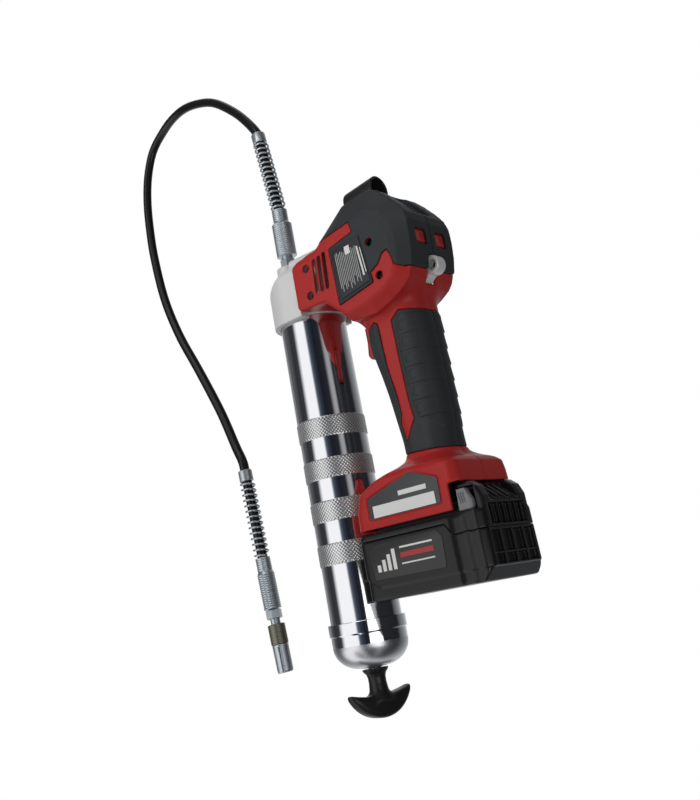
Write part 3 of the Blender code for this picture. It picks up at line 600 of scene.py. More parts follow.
def make_barrel():
    """Chrome tube with four knurled bands."""
    profile = ((27.0, -4.0), (BARREL_R, -4.0), (BARREL_R, BARREL_TOP), (27.0, BARREL_TOP))
    turned("barrel", profile, ["barrel_tube"], "chrome", segments=192, sharp=25)
    for number, (low, high) in enumerate(BAND_EDGES):
        knurled_band(f"barrel_knurl_{number + 1}", low + 0.2, high - 0.2)


def knurled_band(name, low, high):
    """Diamond knurling: two families of ridges that cross. The colour follows the ridges' height: a painted
    highlight on the ridges and painted shade in the valleys.
    """
    around = 448
    waves = 62
    pitch = 3.0
    rows = int((high - low) / (pitch / 4))
    a, y = np.meshgrid(
        np.arange(around) * 2 * math.pi / around, np.linspace(low, high, rows + 1), indexing="ij")
    phase = 2 * math.pi * (y - low) / pitch
    relief = 0.5 * (np.cos(waves * a + phase) * 0.5 + np.cos(waves * a - phase) * 0.5) + 0.5
    ease = np.minimum(1, np.minimum(y - low, high - y) / 0.8)
    radius = BARREL_R + 0.05 + 0.6 * relief * ease + 0.05 * ease
    points = np.stack([radius * np.cos(a), y, radius * np.sin(a)], axis=-1).reshape(-1, 3)
    n = rows + 1
    i, j = np.meshgrid(np.arange(around), np.arange(rows), indexing="ij")
    nxt = (i + 1) % around
    faces = np.stack([i * n + j, i * n + j + 1, nxt * n + j + 1, nxt * n + j], axis=-1).reshape(-1, 4)
    band = mesh_piece(name, points, faces, [], "knurl")
    # The relief's height, kept on the points, drives the knurl's painted highlight and painted shade.
    height = band.data.attributes.new("height", "FLOAT", "POINT")
    height.data.foreach_set("value", relief.astype(np.float32).ravel())


def make_cap():
    """Deep-drawn cap with a raised grip line and a satin domed bottom."""
    rim = (
        (27.0, -6), (28.9, -5), (28.9, 0.0), (30.7, 0.0), (30.9, -0.3), (30.9, -8.4), (30.7, -8.8),
        (30.2, -9.1), (29.9, -9.6), (29.9, -13.0), (29.8, -17.0), (27.0, -17.0),
    )
    turned("cap", rim, ["end_cap"], "chrome", segments=160, sharp=25)
    dome = [(29.8 - 21 * (1 - math.cos(t)), -17.0 - 17.6 * math.sin(t))
            for t in [math.radians(d) for d in range(0, 91, 6)]]
    dome += [(5.6, -35.0), (5.6, -31.0), (20, -28), (25.6, -22), (26.8, -17.0)]
    turned("cap_dome", dome, [], "satin_chrome", segments=160, sharp=25)
    turned("bush", ((4.4, -35.3), (5.0, -35.3), (5.3, -35.0), (5.3, -31), (4.4, -31)),
           ["rod_bush"], "steel", segments=64)


def make_t_handle():
    """Moulded T-handle: a flared stem and a crescent bar with thick rounded ends."""
    g = Grid((-18, -74, -37), (18, -34, 37), fine(0.55))
    turn = math.radians(14.5)
    along = g.z * math.cos(turn) - g.x * math.sin(turn)
    across = g.x * math.cos(turn) + g.z * math.sin(turn)
    crescent = np.hypot(along, g.y + 37.8) - 33.0
    crescent = meet(crescent, -(np.hypot(along, g.y - 47.0) - 102.0), 4.0)
    crescent = meet(crescent, np.abs(across) - 7.6 + 0.003 * along * along, 4.5)
    radius = eased(g.y, [-62, -52, -46, -42, -39.5, -37.6, -35.7], [9.5, 7.6, 6.9, 7.0, 7.8, 9.6, 10.6])
    stem = np.hypot(g.x, g.z) - radius
    stem = meet(stem, np.maximum(g.y + 35.7, -58 - g.y), 0.8)
    field = join(stem, crescent, 4.5)
    field = cut(field, np.maximum(np.hypot(g.x, g.z) - 4.4, -49.8 - g.y), 0.4)
    solid("handle", field, g, ["t_handle"], "black_plastic")


# ---- pump head

def make_head():
    """Cast head: flat sides, round front, sloped roof, boss for the hose and collar for the barrel."""
    g = Grid((-34, 242, -36), (42, 306, 36), fine(0.6))
    half = 33.6
    front = np.hypot(np.minimum(g.x + 1, 0), np.maximum(np.abs(g.z) - 2.5, 0)) - (half - 2.5)
    plan = np.where(g.x < -1, front, np.abs(g.z) - half)
    body = meet(plan, g.x - 17.2, 1.2)
    body = meet(body, HEAD_BOTTOM - g.y, 1.0)
    roof = meet(slope(g, -0.55, 1, 0, (-2, 287.5, 0)), slope(g, 0, 1, 0, (0, 303, 0)), 3)
    for side in (1, -1):
        roof = meet(roof, slope(g, 0, 1.0, side * 0.95, (0, 286.5, side * half)), 3)
    body = meet(body, roof, 2.2)
    band = np.maximum(HEAD_BOTTOM - g.y, np.maximum(g.y - 252.5, g.x - 17))
    collar = meet(np.hypot(g.x, g.z) - 32.2, band, 0.9)
    collar = join(collar, meet(np.hypot(g.x, g.z) - 30.1, span(g.y, 246.2, 254), 0.6), 0.5)
    tail = block(g, (8, 252, -30), (40, 297, 30), 3.0)
    field = join(join(body, collar, 1.2), tail, 1.0)
    boss = post(g, HOSE_X, 11.5, 280, 304, 1.2)
    field = join(field, boss, 3.0)
    field = cut(field, post(g, 0, 28.75, 230, 257.5), 0.5)
    field = cut(field, post(g, HOSE_X, 5.0, 285, 320), 0.5)
    field = cut(field, block(g, (6, 262, -12.5), (60, 291, 12.5), 1), 0.5)
    solid("head", field, g, ["pump_head"], "head_metal")
    turned("bleed", ((0, -8), (2.2, -8), (2.6, -7.6), (2.6, -5), (4.6, -4.8), (4.6, 0), (0, 0)),
           ["bleed_valve"], "zinc", aimed((-32.6, 272, 0), (0, 272, 0)), 6, 20)


# ---- housing

MID_OUTLINE = [
    (16.3, 247.5), (46, 245.5), (66, 223), (92, 222.5), (108, 227.5), (117, 231), (125, 235.5),
    (129.6, 240.5), (133.4, 249), (135.9, 260), (137.2, 272), (137.4, 286), (135.6, 293),
    (130.6, 301), (121.8, 311.5), (113.5, 320), (106, 323.8), (76, 321.8), (61, 311.5), (50, 304),
    (44, 297.8), (16.3, 295.5),
]
SIDE_OUTLINE = [
    (16.3, 247), (45, 246.5), (52, 240.5), (66, 228.5), (80, 230.5), (92, 233), (108, 238),
    (116, 244), (120.5, 252), (122, 262), (122.3, 275), (119, 286.5), (114.5, 296), (106, 301.5),
    (93, 304), (84, 303), (60, 299), (50, 295), (44, 291), (16.3, 287),
]
# Sections (y, front, rear, half width, corner radius)
GRIP_SECTIONS = (
    (236, 64, 122, 23, 17), (215, 65, 123, 21.8, 17), (193, 66.2, 122.5, 21, 17),
    (175, 69.8, 122.6, 20.5, 17), (158, 72.4, 122.6, 20, 17), (135, 75.2, 121.8, 20, 17),
    (118, 77.6, 121, 20.5, 17), (96, 77.6, 121, 22, 17),
)
FOOT_SECTIONS = (
    (61.3, 36.7, 136.8, 38, 9), (74, 37.3, 136.8, 38, 9), (88, 42, 136.2, 38, 9),
    (95.5, 57, 135.4, 37.4, 9.5), (99, 67, 132, 35, 12), (102, 74, 125.5, 29, 14),
    (106, 77, 121, 23, 17), (112, 81, 117, 16, 14),
)
COVER_OUTLINE = [
    (47, 350), (47, 296.5), (60, 298.6), (85.5, 302), (87.5, 293), (60.5, 287.6), (61.5, 237.5),
    (99, 244.5), (98.5, 253), (107, 257), (112, 263.5), (117.5, 265.5), (120.3, 259), (121, 252),
    (128, 248), (150, 245.5), (150, 350),
]
RUBBER_OUTLINE = [
    (140, 107.5), (140, 214.5), (107, 220.5), (97.7, 214.5), (97, 180), (97.2, 150), (98.8, 135.5),
    (88, 120), (85.5, 134), (88.2, 142), (88, 152), (84.5, 180), (84.5, 215.5),
    (82, 218), (76.5, 216), (70.5, 213.2), (66, 208), (55, 207), (55, 112.5),
]
PANEL_OUTLINE = [
    (140, 121), (140, 212), (108, 217.2), (102.4, 212), (101.2, 190), (101.4, 160), (102.6, 141),
    (106, 134.5), (112, 129), (119, 124.5),
]
PLATE_OUTLINE = [(62.8, 239.8), (98.2, 246), (94.2, 289), (61.6, 286)]
BADGE_OUTLINE = [(52, 67.3), (119.9, 67.3), (120.9, 86.9), (96.3, 96.5), (52, 84)]


def housing_field(g):
    """Outer surface of the motor housing, grip and foot as one moulding."""
    height = np.abs(g.z)
    start = eased(g.y, [282, 300], [29, 26])
    t = np.clip((height - start) / (36 - start), 0, 1)
    mid = rounded_polygon(g.x, g.y, MID_OUTLINE, 4.0)
    side = rounded_polygon(g.x, g.y, SIDE_OUTLINE, 4.0)
    body = mid + (side - mid) * t
    body = meet(body, height - 36, 2.6)
    grip = meet(tower(g, GRIP_SECTIONS, smooth=14), np.maximum(g.y - 250, 88 - g.y), 2)
    foot = meet(tower(g, FOOT_SECTIONS, smooth=2.5), 61.3 - g.y, 1.0)
    foot = meet(foot, g.y - 114, 1.0)
    whole = join(join(body, grip, 10.0), foot, 5.0)
    steep = np.sqrt(sum(part ** 2 for part in np.gradient(whole, g.step)))
    return whole / np.clip(steep, 0.8, 4)


def housing_inside(g, outer):
    """The hollow of the moulding, open under the foot and at the pump head."""
    hollow = outer + 2.6
    hollow = join(hollow, block(g, (0, 249, -33), (30, 299, 33), 2), 0.5)
    hollow = cut(hollow, block(g, (56, 83.5, -36), (140, 86.5, 36), 0.5), 0.5)
    under = block(g, (40, 40, -35), (134.8, 83.5, 35), 3)
    return join(hollow, under, 0.5)


def make_housing_half(side, tag):
    """Red shell and its soft covers, for the left (side 1) or right (side -1) half."""
    g = Grid((14, 59, -1.5), (141, 325, 38.8), fine(0.7))
    outer = housing_field(g)
    shell = cut(outer, housing_inside(g, outer), 0.4)
    shell = cut(shell, block(g, (127.5, 40, -50), (160, 80, 50), 2.0), 1.2)
    shell = cut(shell, meet(np.hypot(g.x, g.z) - 31.0, g.y - 255, 0.5), 1.0)
    shell = cut(shell, block(g, (30, 192.5, -7.4), (96, 222.5, 7.4), 1.5), 1.0)
    shell = cut(shell, np.maximum(eyelet_outline(g) - 0.9, g.z - 6.1), 0.8)
    for k, x in enumerate((41.6, 47.2, 52.9)):
        lean = g.x - 0.06 * (g.y - 270)
        slot = np.hypot(lean - x, np.maximum(np.abs(g.y - 270.3 - 0.7 * k) - 13.2 - k * 0.5, 0)) - 1.75
        shell = cut(shell, slot, 0.9)
    for x, y in ((32.5, 280.4), (32.4, 256.3), (105.6, 248.2)):
        shell = cut(shell, np.hypot(g.x - x, g.y - y) - 3.3, 1.2)
    cover_zone = polygon(g.x, g.y, COVER_OUTLINE)
    shell = cut(shell, meet(cover_zone, -(outer + 1.9), 0.5), 0.6)
    shell = cut(shell, disc(g, 102.4, 277.7, 3.0), 0.6)
    vent, pocket = vent_shapes(g, outer)
    shell = cut(shell, pocket - 0.3, 0.5)
    rubber_zone = np.maximum(polygon(g.x, g.y, RUBBER_OUTLINE), g.y - 232)
    shell = cut(shell, meet(rubber_zone, -(outer + 1.6), 0.5), 0.6)
    badge = rounded_polygon(g.x, g.y, BADGE_OUTLINE, 1.5)
    shell = cut(shell, meet(badge, 36.9 - g.z, 0.3), 0.6)
    button = block(g, (120, 267.2, 6.3), (150, 279.8, 20.3), 1.5)
    shell = cut(shell, button, 0.8)
    shell = meet(shell, HALF_SEAM - g.z, 0.25)
    solid(f"shell_{tag}", shell, g, [f"housing_{tag}"], "red_shell", keep=0.55, mirror=side < 0)
    make_cover(tag, side, g, outer, cover_zone, button, vent, pocket)
    make_rubber(tag, side)


def vent_shapes(g, outer):
    """The air outlet in the rear slope of the roof, and the pocket moulded round it."""
    outline = [(108, 321), (128.5, 293), (142, 300), (120, 334)]
    vent = meet(rounded_polygon(g.x, g.y, outline, 2.0), g.z - 13.2, 3.0)
    return vent, np.maximum(vent - 1.5, -outer - 6.5)


def make_cover(tag, side, g, outer, zone, button, vent, pocket):
    """Soft overmould round the motor's top and rear, with the plate's recess and the rear vent."""
    cover = meet(outer - 0.7, zone + 0.3, 1.6)
    cover = cut(cover, outer + 1.3, 0.3)
    plate = rounded_polygon(g.x, g.y, inset(PLATE_OUTLINE, 0.6), 1.0)
    if side > 0:
        cover = cut(cover, meet(plate, 35.9 - g.z, 0.3), 0.7)
    cover = cut(cover, disc(g, 102.4, 277.7, 3.2), 1.0)
    cover = cut(cover, button, 1.2)
    cover = cut(cover, np.maximum(eyelet_outline(g) - 0.9, g.z - 6.1), 0.8)
    walls = meet(pocket, outer, 0.3)
    cover = join(cover, walls, 0.3)
    cover = cut(cover, np.maximum(vent, -outer - 5.0), 1.0)
    for k in range(1, 4):
        rib = np.maximum(vent - 0.5, np.abs(g.z - 4.4 * k + 2.2) - 0.6)
        rib = np.maximum(rib, np.maximum(outer + 2.2, -outer - 6.0))
        cover = join(cover, rib, 0.4)
    cover = meet(cover, HALF_SEAM + 0.35 - g.z, 0.6)
    solid(f"cover_{tag}", cover, g, [f"soft_cover_{tag}"], "soft_black", keep=0.6, mirror=side < 0)


def make_rubber(tag, side):
    """Soft grip skin with a raised, stepped panel at the rear."""
    g = Grid((60, 104, -1.0), (126, 224, 25), fine(0.55))
    grip = tower(g, GRIP_SECTIONS, smooth=14)
    zone = polygon(g.x, g.y, RUBBER_OUTLINE)
    skin = meet(grip - 0.35, zone + 0.3, 1.4)
    panel = polygon(g.x, g.y, PANEL_OUTLINE)
    pitch = 13.2
    saw = ((213.5 - g.y) % pitch) / pitch
    step = 0.9 * saw ** 1.5 * np.clip((g.y - 126) / 6, 0, 1) * np.clip((212 - g.y) / 4, 0, 1)
    raised = meet(grip - 1.0 - step, panel, 1.0)
    skin = join(skin, raised, 0.5)
    for k in range(6):
        y = 211 - pitch * k
        tab = block(g, (104.4, y - 7.0, -2), (118, y, 60), 0.8)
        fade = 0.55 * np.clip((117 - g.x) / 10, 0, 1)
        groove = np.maximum(np.abs(tab) - 0.38, -(grip - 1.0 - step + fade))
        skin = cut(skin, groove, 0.5)
    front = polygon(g.x, g.y, [(60, 192), (82, 191), (82.3, 213), (79.5, 214.6), (72, 209), (60, 205)])
    skin = join(skin, meet(grip - 0.9, front, 1.2), 0.8)
    skin = cut(skin, grip + 1.3, 0.3)
    skin = cut(skin, block(g, (30, 192.5, -7.4), (76, 222.5, 7.4), 1.5), 0.8)
    skin = meet(skin, HALF_SEAM + 0.2 - g.z, 0.4)
    solid(f"rubber_{tag}", skin, g, [f"grip_rubber_{tag}"], "soft_black", keep=0.7, mirror=side < 0)


def make_housing():
    for side, tag in SIDES:
        make_housing_half(side, tag)


def make_screws():
    """Round heads with a hexagon socket, at the bottom of their holes."""
    profile = (
        (0, 29.2), (1.3, 29.2), (1.3, 31.2), (2.2, 31.3), (2.9, 30.6), (2.9, 28.6), (1.6, 28.6),
        (1.6, 22), (0, 22),
    )
    for number, (x, y) in enumerate(SCREW_SPOTS, 1):
        lift = Matrix.Translation((x, y, 0)) @ Matrix.Rotation(math.radians(90), 4, "X")
        turned(f"screw_{number}", profile, [f"housing_screw_{number}"], "screw_black", lift, 32, 30)


def make_trigger():
    g = Grid((52, 190, -10), (86, 225, 10), fine(0.45))
    face = [
        (74, 193.2), (82, 196), (82, 220), (70, 222), (58.6, 221.6), (58.6, 216), (58.6, 209), (57.8, 203),
        (57.2, 198.5), (59.0, 195.2), (63.5, 193.2)]
    field = rounded_polygon(g.x, g.y, face, 1.2)
    field = meet(field, np.abs(g.z) - 6.8, 2.6)
    for k in range(4):
        field = cut(field, np.hypot(g.x - 57.4 + 0.45 * k, g.y - (215.5 - 4.2 * k)) - 0.9, 0.5)
    solid("trigger_blade", field, g, ["trigger"], "red_control")


def make_buttons():
    for side, tag in SIDES:
        middle = side * 13.4
        g = Grid((127, 265, middle - 8), (141, 282, middle + 8), fine(0.35))
        field = block(g, (128.6, 268.3, middle - 6.2), (136.4, 279.2, middle + 6.2), 1.2)
        dish = np.sqrt((g.x - 147.2) ** 2 + (g.y - 273.7) ** 2 + (g.z - middle) ** 2) - 11.4
        field = cut(field, dish, 0.5)
        solid(f"button_{tag}", field, g, [f"push_button_{tag}"], "red_control")


def eyelet_outline(g):
    """Teardrop: a round eye with a tail down to the seam."""
    tail = polygon(g.x, g.y, [(116, 246), (119, 239.5), (124.2, 236.2), (131, 242.4), (128, 256)])
    return join(disc(g, 135.0, 250.6, 7.9), tail, 3)


def make_eyelet():
    g = Grid((110, 232, -7), (145, 262, 7), fine(0.4))
    reach = np.hypot(g.x - 135.2, g.y - 250.8)
    field = meet(eyelet_outline(g), np.abs(g.z) - 5.4, 1.6)
    field = cut(field, reach - 4.2, 1.2)
    field = cut(field, np.maximum(reach - 5.9, np.abs(g.z) - 3.2), 0.4)
    solid("eyelet", field, g, ["strap_eyelet"], "eyelet_metal")


def make_clip():
    """Open tube on the roof, with a flared foot on each side."""
    g = Grid((60, 318, -20), (101, 349, 20), fine(0.5))
    fall = 0.11 * (99 - g.x)
    ring = np.abs(np.hypot(g.y + fall - 334.5, g.z) - 10.9) - 1.15
    ring = meet(ring, 325.6 - g.y, 0.6)
    feet = block(g, (60, 319.0, -17), (101, 326.5, 17), 1.0)
    feet = cut(feet, block(g, (50, 310, -8.6), (110, 327.5, 8.6), 0.5), 0.5)
    flare = slope(g, 0, 1, 0.75, (0, 326.3, 11.5))
    other = slope(g, 0, 1, -0.75, (0, 326.3, -11.5))
    feet = meet(feet, np.maximum(flare, other), 1.0)
    field = join(ring, feet, 2.5)
    field = meet(field, span(g.x, 67, 99), 0.9)
    solid("clip", field, g, ["hose_clip"], "black_plastic")


# ---- battery

def column(g, front, rear, half, radius):
    """A column of one section up the whole block of space."""
    return tower(g, ((0, front, rear, half, radius), (90, front, rear, half, radius)))


def make_battery():
    """Two-part case with a lobe on each side, a ribbed rear face and a grab hump at the top rear."""
    g = Grid((33, 8, -39.5), (150, 82, 39.5), fine(0.7))
    height = np.abs(g.z)
    body = meet(meet(column(g, 35.2, 147.8, BATTERY_HALF, 9), 10 - g.y, 2.0), height - 36.5, 1.5)
    lobe = column(g, 115.5, 143, BATTERY_HALF, 12)
    field = join(body, meet(lobe, span(g.y, 10.2, 57.5), 2), 0.8)
    rear = column(g, 128, 148.7, 34.2, 5)
    field = join(field, meet(rear, span(g.y, 10.4, 60), 2), 1.0)
    field = meet(field, slope(g, 1, -0.75, 0, (148.3, 20, 0)), 0.8)
    # The bottom band is set in, and rises at the front corners.
    rise = eased(g.x, [36, 50], [28, 20])
    field = field + 0.7 * np.clip((rise - g.y) / 0.7, 0, 1)
    roof = eased(g.x, [35, 39, 125, 130, 140, 148], [54, 58.6, 58.6, 60, 60, 58.5])
    field = meet(field, g.y - roof, 2.0)
    hump = polygon(g.x, g.y, [
        (128.3, 50), (148.6, 50), (148.6, 67.5), (145.4, 75), (139.5, 79.4), (128.3, 79.4)])
    field = join(field, meet(hump, height - 30.6, 2.5), 1.0)
    # Rear face: framed cells below, a ribbed hollow above
    cells = block(g, (145.6, 20.8, -28), (160, 43.6, 28), 1.5)
    bars = np.minimum(np.minimum(height, np.abs(height - 15)), np.abs(g.y - 28)) - 0.7
    field = cut(field, cut(cells, bars, 0.3), 0.5)
    hollow = block(g, (143.0, 47.5, -24), (160, 62, 24), 1.5)
    ticks = np.maximum(np.abs((height + 4) % 8 - 4) - 0.8, 47 - g.y)
    field = cut(field, cut(hollow, np.maximum(ticks, g.x - 146), 0.3), 0.6)
    grab = block(g, (134, 64, -20), (160, 90, 20), 2.0)
    field = cut(field, meet(grab, -(slope(g, 1, 1.2, 0, (139.6, 72.5, 0)) + 1.5), 0.5), 1.0)
    for z in (-8, 0, 8):
        rib = block(g, (134, 63, z - 1), (148.5, 79, z + 1), 0.4)
        field = join(field, meet(rib, slope(g, 1, 1.2, 0, (140.6, 73.5, 0)), 0.3), 0.3)
    pocket = meet(meet(g.x - 143.2, 129 - g.x, 0.3), span(g.y, 59.8, 75.6), 0.5)
    field = cut(field, meet(pocket, 24.8 - height, 0.5), 0.6)
    neck = block(g, (45, 50, -23.5), (131, 72, 23.5), 1.0)
    field = join(field, join(neck, block(g, (45, 65.8, -28.6), (131, 72.4, 28.6), 1.0), 0.3), 0.5)
    for z in range(-16, 17, 8):
        field = cut(field, block(g, (38, 60, z - 1.2), (72, 90, z + 1.2), 0.4), 0.4)
    hollow = meet(column(g, 35.2, 138, BATTERY_HALF, 9) + 3.6, span(g.y, 13, 53), 1.0)
    field = cut(field, hollow, 0.5)
    seam = eased(g.x, [116.5, 122], [53.4, 45.2])
    for tag, keep_part in (("lower", g.y - seam), ("upper", seam + 0.35 - g.y)):
        part = meet(field, keep_part, 0.5)
        solid(f"case_{tag}", part, g, [f"battery_case_{tag}"], "battery_black", keep=0.6)


def make_latches():
    outline = [(132.2, 61.4), (132.8, 74.4), (136.8, 74.2), (141.6, 64.0), (140.4, 61.4)]
    for side, tag in SIDES:
        middle = side * 31.9
        g = Grid((128, 59, middle - 4), (144, 77, middle + 4), fine(0.35))
        out = side * (g.z - middle)
        field = meet(rounded_polygon(g.x, g.y, outline, 0.8), np.abs(out) - 2.5, 0.6)
        # Stays clear of its pocket's walls when it is pressed.
        field = meet(field, np.maximum(g.x - 142.4, g.y - 74.8), 0.4)
        field = meet(field, slope(g, 0.35, 0, side, (139.0, 0, middle + side * 2.5)), 0.5)
        for k in range(3):
            across = g.x - 133.2 - 1.9 * k - 0.1 * (68 - g.y)
            groove = np.hypot(across, np.maximum(np.abs(g.y - 68.4) - 3.4, 0)) - 0.42
            field = cut(field, meet(groove, 1.7 - out, 0.2), 0.3)
        solid(f"latch_{tag}", field, g, [f"battery_latch_{tag}"], "latch_grey")


# ---- plates and their plain marks

def prism(bm, outline, low, high):
    """Adds a straight-sided body between two levels of z."""
    rings = [[bm.verts.new((x, y, z)) for x, y in outline] for z in (low, high)]
    bm.faces.new(rings[0][::-1])
    bm.faces.new(rings[1])
    for i, j in zip(range(len(outline)), [*range(1, len(outline)), 0]):
        bm.faces.new((rings[0][i], rings[0][j], rings[1][j], rings[1][i]))


def flat_bars(name, bars, z, finish, body, thickness=0.12):
    """Thin plain bars (x, y, width, height, lean) lying on a face that looks along z."""
    bm = bmesh.new()
    for x, y, width, height, lean in bars:
        corners = [(u * width / 2, v * height / 2) for u, v in ((-1, -1), (1, -1), (1, 1), (-1, 1))]
        ca, sa = math.cos(math.radians(lean)), math.sin(math.radians(lean))
        prism(bm, [(x + ca * u - sa * v, y + sa * u + ca * v) for u, v in corners], z, z + thickness)
    return bmesh_piece(name, bm, [], finish, body=body, sharp=20)


def flat_plate(name, outline, low, high, nodes, finish, radius=1.5, bevel=0.25, side=1, body=None):
    """A plate with rounded corners and an eased edge, between two levels of z."""
    loop = []
    for before, here, after in zip(outline[-1:] + outline[:-1], outline, outline[1:] + outline[:1]):
        a = (Vector(before) - Vector(here)).normalized()
        b = (Vector(after) - Vector(here)).normalized()
        for k in range(5):
            t = k / 4
            start, end = Vector(here) + a * radius, Vector(here) + b * radius
            loop.append(start * (1 - t) ** 2 + Vector(here) * 2 * t * (1 - t) + end * t ** 2)
    bm = bmesh.new()
    prism(bm, loop, side * low, side * high)
    bmesh.ops.recalc_face_normals(bm, faces=bm.faces)
    top = [e for e in bm.edges if all(abs(v.co.z - side * high) < 1e-6 for v in e.verts)]
    bmesh.ops.bevel(bm, geom=top, offset=bevel, segments=2, affect="EDGES", profile=0.5)
    return bmesh_piece(name, bm, nodes, finish, body=body, sharp=30)


def make_plates():
    flat_plate("plate", inset(PLATE_OUTLINE, 1.5), 35.4, 36.5, ["rating_plate"], "plate_dark", 1.2)
    lines = []
    for k, length in enumerate((30, 34, 27, 33, 31, 25, 34, 29, 32, 22, 30, 26, 31)):
        lines.append((67.1 + 1.75 * k, 264 + (34 - length) * 0.25, 0.75, length, 1.5))
    flat_bars("plate_lines", lines, 36.5, "mark_grey", "tool")
    blocks = [(80.0, 279.5, 5.2, 7.0, 4), (91.0, 266, 1.6, 26, 5), (93.8, 266, 0.8, 22, 5)]
    flat_bars("plate_block", blocks, 36.52, "mark_white", "tool")
    for side, tag in SIDES:
        nodes = [f"foot_badge_{tag}"]
        flat_plate(f"badge_{tag}", inset(BADGE_OUTLINE, 0.9), 36.6, 37.5, nodes, "label_grey", 2.0, side=side)
    flat_bars("badge_marks", [(86, 73.2, 58, 8.6, 0), (96, 82.4, 26, 3.4, 0)], 37.52, "mark_white", "tool")
    label = [(46.6, 25.5), (112.0, 25), (113.2, 46), (109, 51), (50, 50), (45.0, 46)]
    flat_plate("battery_label", label, 36.2, 36.95, [], "battery_label", 1.5, body="battery")
    steps = [(52.5 + 5 * k, 33 + 1.6 * k, 3.2, 5 + 3.2 * k, 0) for k in range(4)]
    flat_bars("battery_marks", steps, 36.97, "mark_white", "battery")
    flat_bars("battery_stripe", [(89, 39.5, 30, 3.4, 0)], 36.97, "mark_red", "battery")
    flat_bars("battery_lines", [(89, 45, 30, 1.3, 0), (89, 33.5, 30, 1.0, 0)], 36.97, "mark_white", "battery")


# ---- hose and fittings

# Centreline between the two guard springs
HOSE_ROUTE = (
    (-44, 473, -6), (-64, 496, -10), (-92, 521, -15),
    (-120, 536, -20), (-149, 545, -25), (-175, 545, -29), (-196, 539, -32),
    (-212, 530, -33.2), (-222, 517, -33.3), (-231, 495, -33.3), (-236, 467, -33.3),
    (-237, 433, -33.3), (-235, 400, -33.3), (-227, 352, -33.3), (-211, 306, -33.3),
    (-188, 260, -33.3), (-165, 211, -33.3), (-149, 172, -31.5),
)
UPPER = aimed((HOSE_X, 362.4, 0), (-28.2, 449.5, -2.2))
LOWER = aimed((-140.4, 148.0, -29.8), (-126.0, -31.5, -29.8))


def smooth(points, spacing):
    """Even points along a Catmull-Rom curve through the given ones."""
    ends = [points[0] * 2 - points[1]] + points + [points[-1] * 2 - points[-2]]
    line = []
    for a, b, c, d in zip(ends, ends[1:], ends[2:], ends[3:]):
        for k in range(12):
            t = k / 12
            line.append(0.5 * (2 * b + (c - a) * t + (2 * a - 5 * b + 4 * c - d) * t ** 2
                               + (3 * b - a - 3 * c + d) * t ** 3))
    line.append(points[-1])
    even = [line[0]]
    for point in line[1:-1]:
        if (point - even[-1]).length >= spacing:
            even.append(point)
    if (even[-1] - line[-1]).length < spacing * 0.6:
        even.pop()
    return even + [line[-1]]


def hose_points():
    """Centreline from inside one crimp sleeve to inside the other."""
    start = [Vector((HOSE_X, 347.0, 0)), Vector((HOSE_X, 360, 0))]
    start += [UPPER @ Vector((0, y, 0)) for y in (14, 34, 54, 74, 88)]
    route = [Vector(point) for point in HOSE_ROUTE]
    end = [LOWER @ Vector((0, y, 0)) for y in (-8, 8, 30, 52, 74, 95.6)]
    return smooth(start + route + end, 6.0)


def curve_piece(name, points, radius, nodes, finish, resolution):
    """A round rod or wire along points."""
    curve = bpy.data.curves.new(name, "CURVE")
    curve.dimensions = "3D"
    curve.bevel_depth = radius * MM
    curve.bevel_resolution = resolution
    curve.use_fill_caps = True
    spline = curve.splines.new("POLY")
    spline.points.add(len(points) - 1)
    for point, where in zip(spline.points, points):
        point.co = (*place(where), 1.0)
    return finish_piece(bpy.data.objects.new(name, curve), nodes, finish)


def spring(name, matrix, low, high, turns, radius, wire, nodes):
    """A round wire wound about y."""
    points = []
    steps = int(turns * 22)
    for k in range(steps + 1):
        t = k / steps
        angle = 2 * math.pi * turns * t
        spot = (radius * math.cos(angle), low + (high - low) * t, radius * math.sin(angle))
        points.append(matrix @ Vector(spot))
    return curve_piece(name, points, wire, nodes, "zinc", 3)


def sleeve_profile(y0, thick_r, thick_to, thin_r, thin_to):
    """Crimp sleeve from its thick ribbed end to its thin ribbed end; it may run either way."""
    way = 1 if thin_to > y0 else -1
    bore = HOSE_R + 0.1
    profile = [(bore, y0), (thick_r - 0.6, y0), (thick_r, y0 + way * 0.6)]
    profile += ribs(y0 + way * 0.8, thick_to - way * 0.6, thick_r, 0.55, 1.9)
    profile += [(thick_r - 0.3, thick_to), (thin_r + 0.2, thick_to + way * 1.8)]
    profile += ribs(thick_to + way * 2.0, thin_to - way * 0.5, thin_r, 0.4, 1.9)
    profile += [(thin_r - 0.3, thin_to), (bore, thin_to)]
    return profile


def hexagon(name, low, high, across, matrix, nodes, finish):
    """Hexagon bar along y with chamfered ends."""
    r = across / math.cos(math.pi / 6) / 2
    profile = ((0, low), (r - 0.7, low), (r, low + 0.5), (r, high - 0.5), (r - 0.7, high), (0, high))
    return turned(name, profile, nodes, finish, matrix, 6, 20)


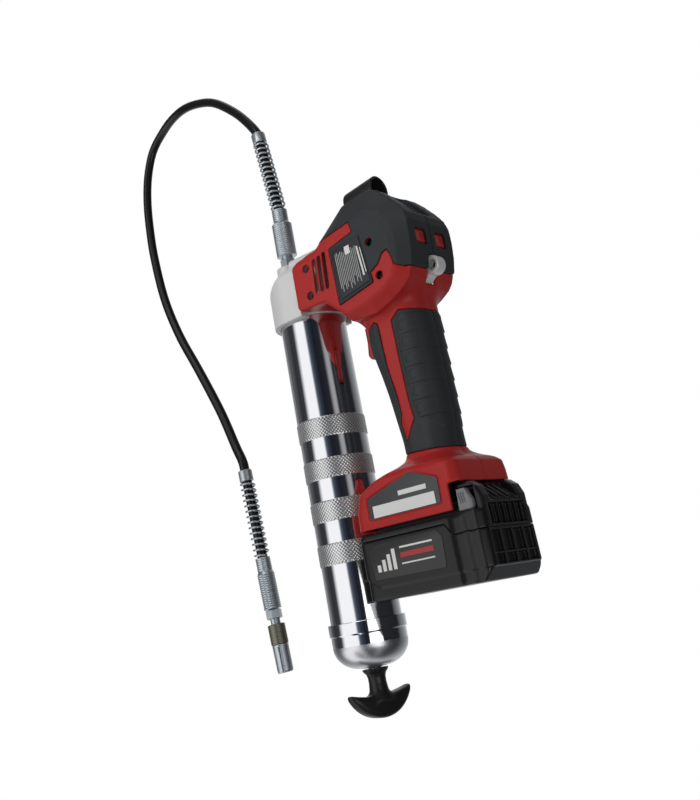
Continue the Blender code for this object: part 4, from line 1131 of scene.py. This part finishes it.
def make_hose():
    points = hose_points()
    hose = curve_piece("hose_tube", points, HOSE_R, ["hose"], "hose_rubber", 6)
    at = Matrix.Translation((HOSE_X, 0, 0))
    fittings = [
        hexagon("inlet_hex", 304.4, 312.5, 12.6, at, ["hose_inlet"], "zinc"),
        turned("inlet_neck", ((0, 312.5), (5.4, 312.5), (5.2, 315.8), (0, 315.8)), [], "zinc", at, 48),
        turned("sleeve_upper", sleeve_profile(315.8, 9.3, 347.5, 7.2, 362.0),
               ["crimp_sleeve_upper"], "zinc", at, 72, 50),
        turned("ring_upper", ((5.0, 76.0), (6.4, 76.0), (6.8, 76.4), (6.8, 86.4), (6.4, 87.0), (5.0, 87.0)),
               ["guard_ring_upper"], "zinc", UPPER, 64),
        spring("guard_upper", UPPER, 0.9, 74.8, 13.5, 6.5, 1.0, ["spring_guard_upper"]),
        turned("ring_lower", ((5.0, 0), (6.2, 0), (6.6, 0.5), (6.6, 10.0), (6.2, 10.4), (5.0, 10.4)),
               ["guard_ring_lower"], "zinc", LOWER, 64),
        spring("guard_lower", LOWER, 11.7, 80.3, 13.5, 6.4, 0.95, ["spring_guard_lower"]),
        turned("sleeve_lower", sleeve_profile(126.5, 8.1, 96.0, 7.0, 81.4),
               ["crimp_sleeve_lower"], "zinc", LOWER, 72, 50),
        hexagon("coupler_hex", 127.2, 135.0, 12.8, LOWER, ["coupler_stem"], "zinc"),
        turned("coupler_neck", ((0, 135.0), (4.4, 135.0), (4.4, 140.5), (0, 140.5)), [], "zinc", LOWER, 48),
        make_coupler(),
        turned("coupler_collar",
               [(4.0, 139.6), (7.2, 139.6), (7.8, 140.2)] + ribs(140.6, 155.5, 7.9, 0.25, 2.1)
               + [(7.5, 156.4), (4.0, 156.4)], [], "coupler_metal", LOWER, 72, 50),
    ]


def make_coupler():
    """Jawed end: a tapered nose with slits between its jaws and a bore for the grease fitting."""
    g = Grid((-9, 155, -9), (9, 181.5, 9), fine(0.3))
    radius = eased(g.y, [156, 158, 172, 178.5, 180], [7.4, 7.3, 7.2, 7.1, 6.4])
    around = np.hypot(g.x, g.z)
    field = meet(around - radius, span(g.y, 156.6, 180), 0.6)
    field = cut(field, np.maximum(around - 3.3, 166 - g.y), 0.6)
    for k in range(3):
        angle = math.radians(90 + 60 * k)
        across = g.x * math.cos(angle) + g.z * math.sin(angle)
        slit = np.abs(across) - 0.45 - 0.5 * np.clip((163 - g.y) / 5, 0, 1)
        field = cut(field, np.maximum(slit, 159 - g.y), 0.4)
    return solid("coupler_jaws", field, g, ["grease_coupler"], "zinc", LOWER)


# ---- everything

add_camera()
add_studio()
dress_cad()
make_hose()
make_barrel()
make_cap()
make_t_handle()
make_head()
make_housing()
make_screws()
make_trigger()
make_buttons()
make_eyelet()
make_clip()
make_battery()
make_latches()
make_plates()
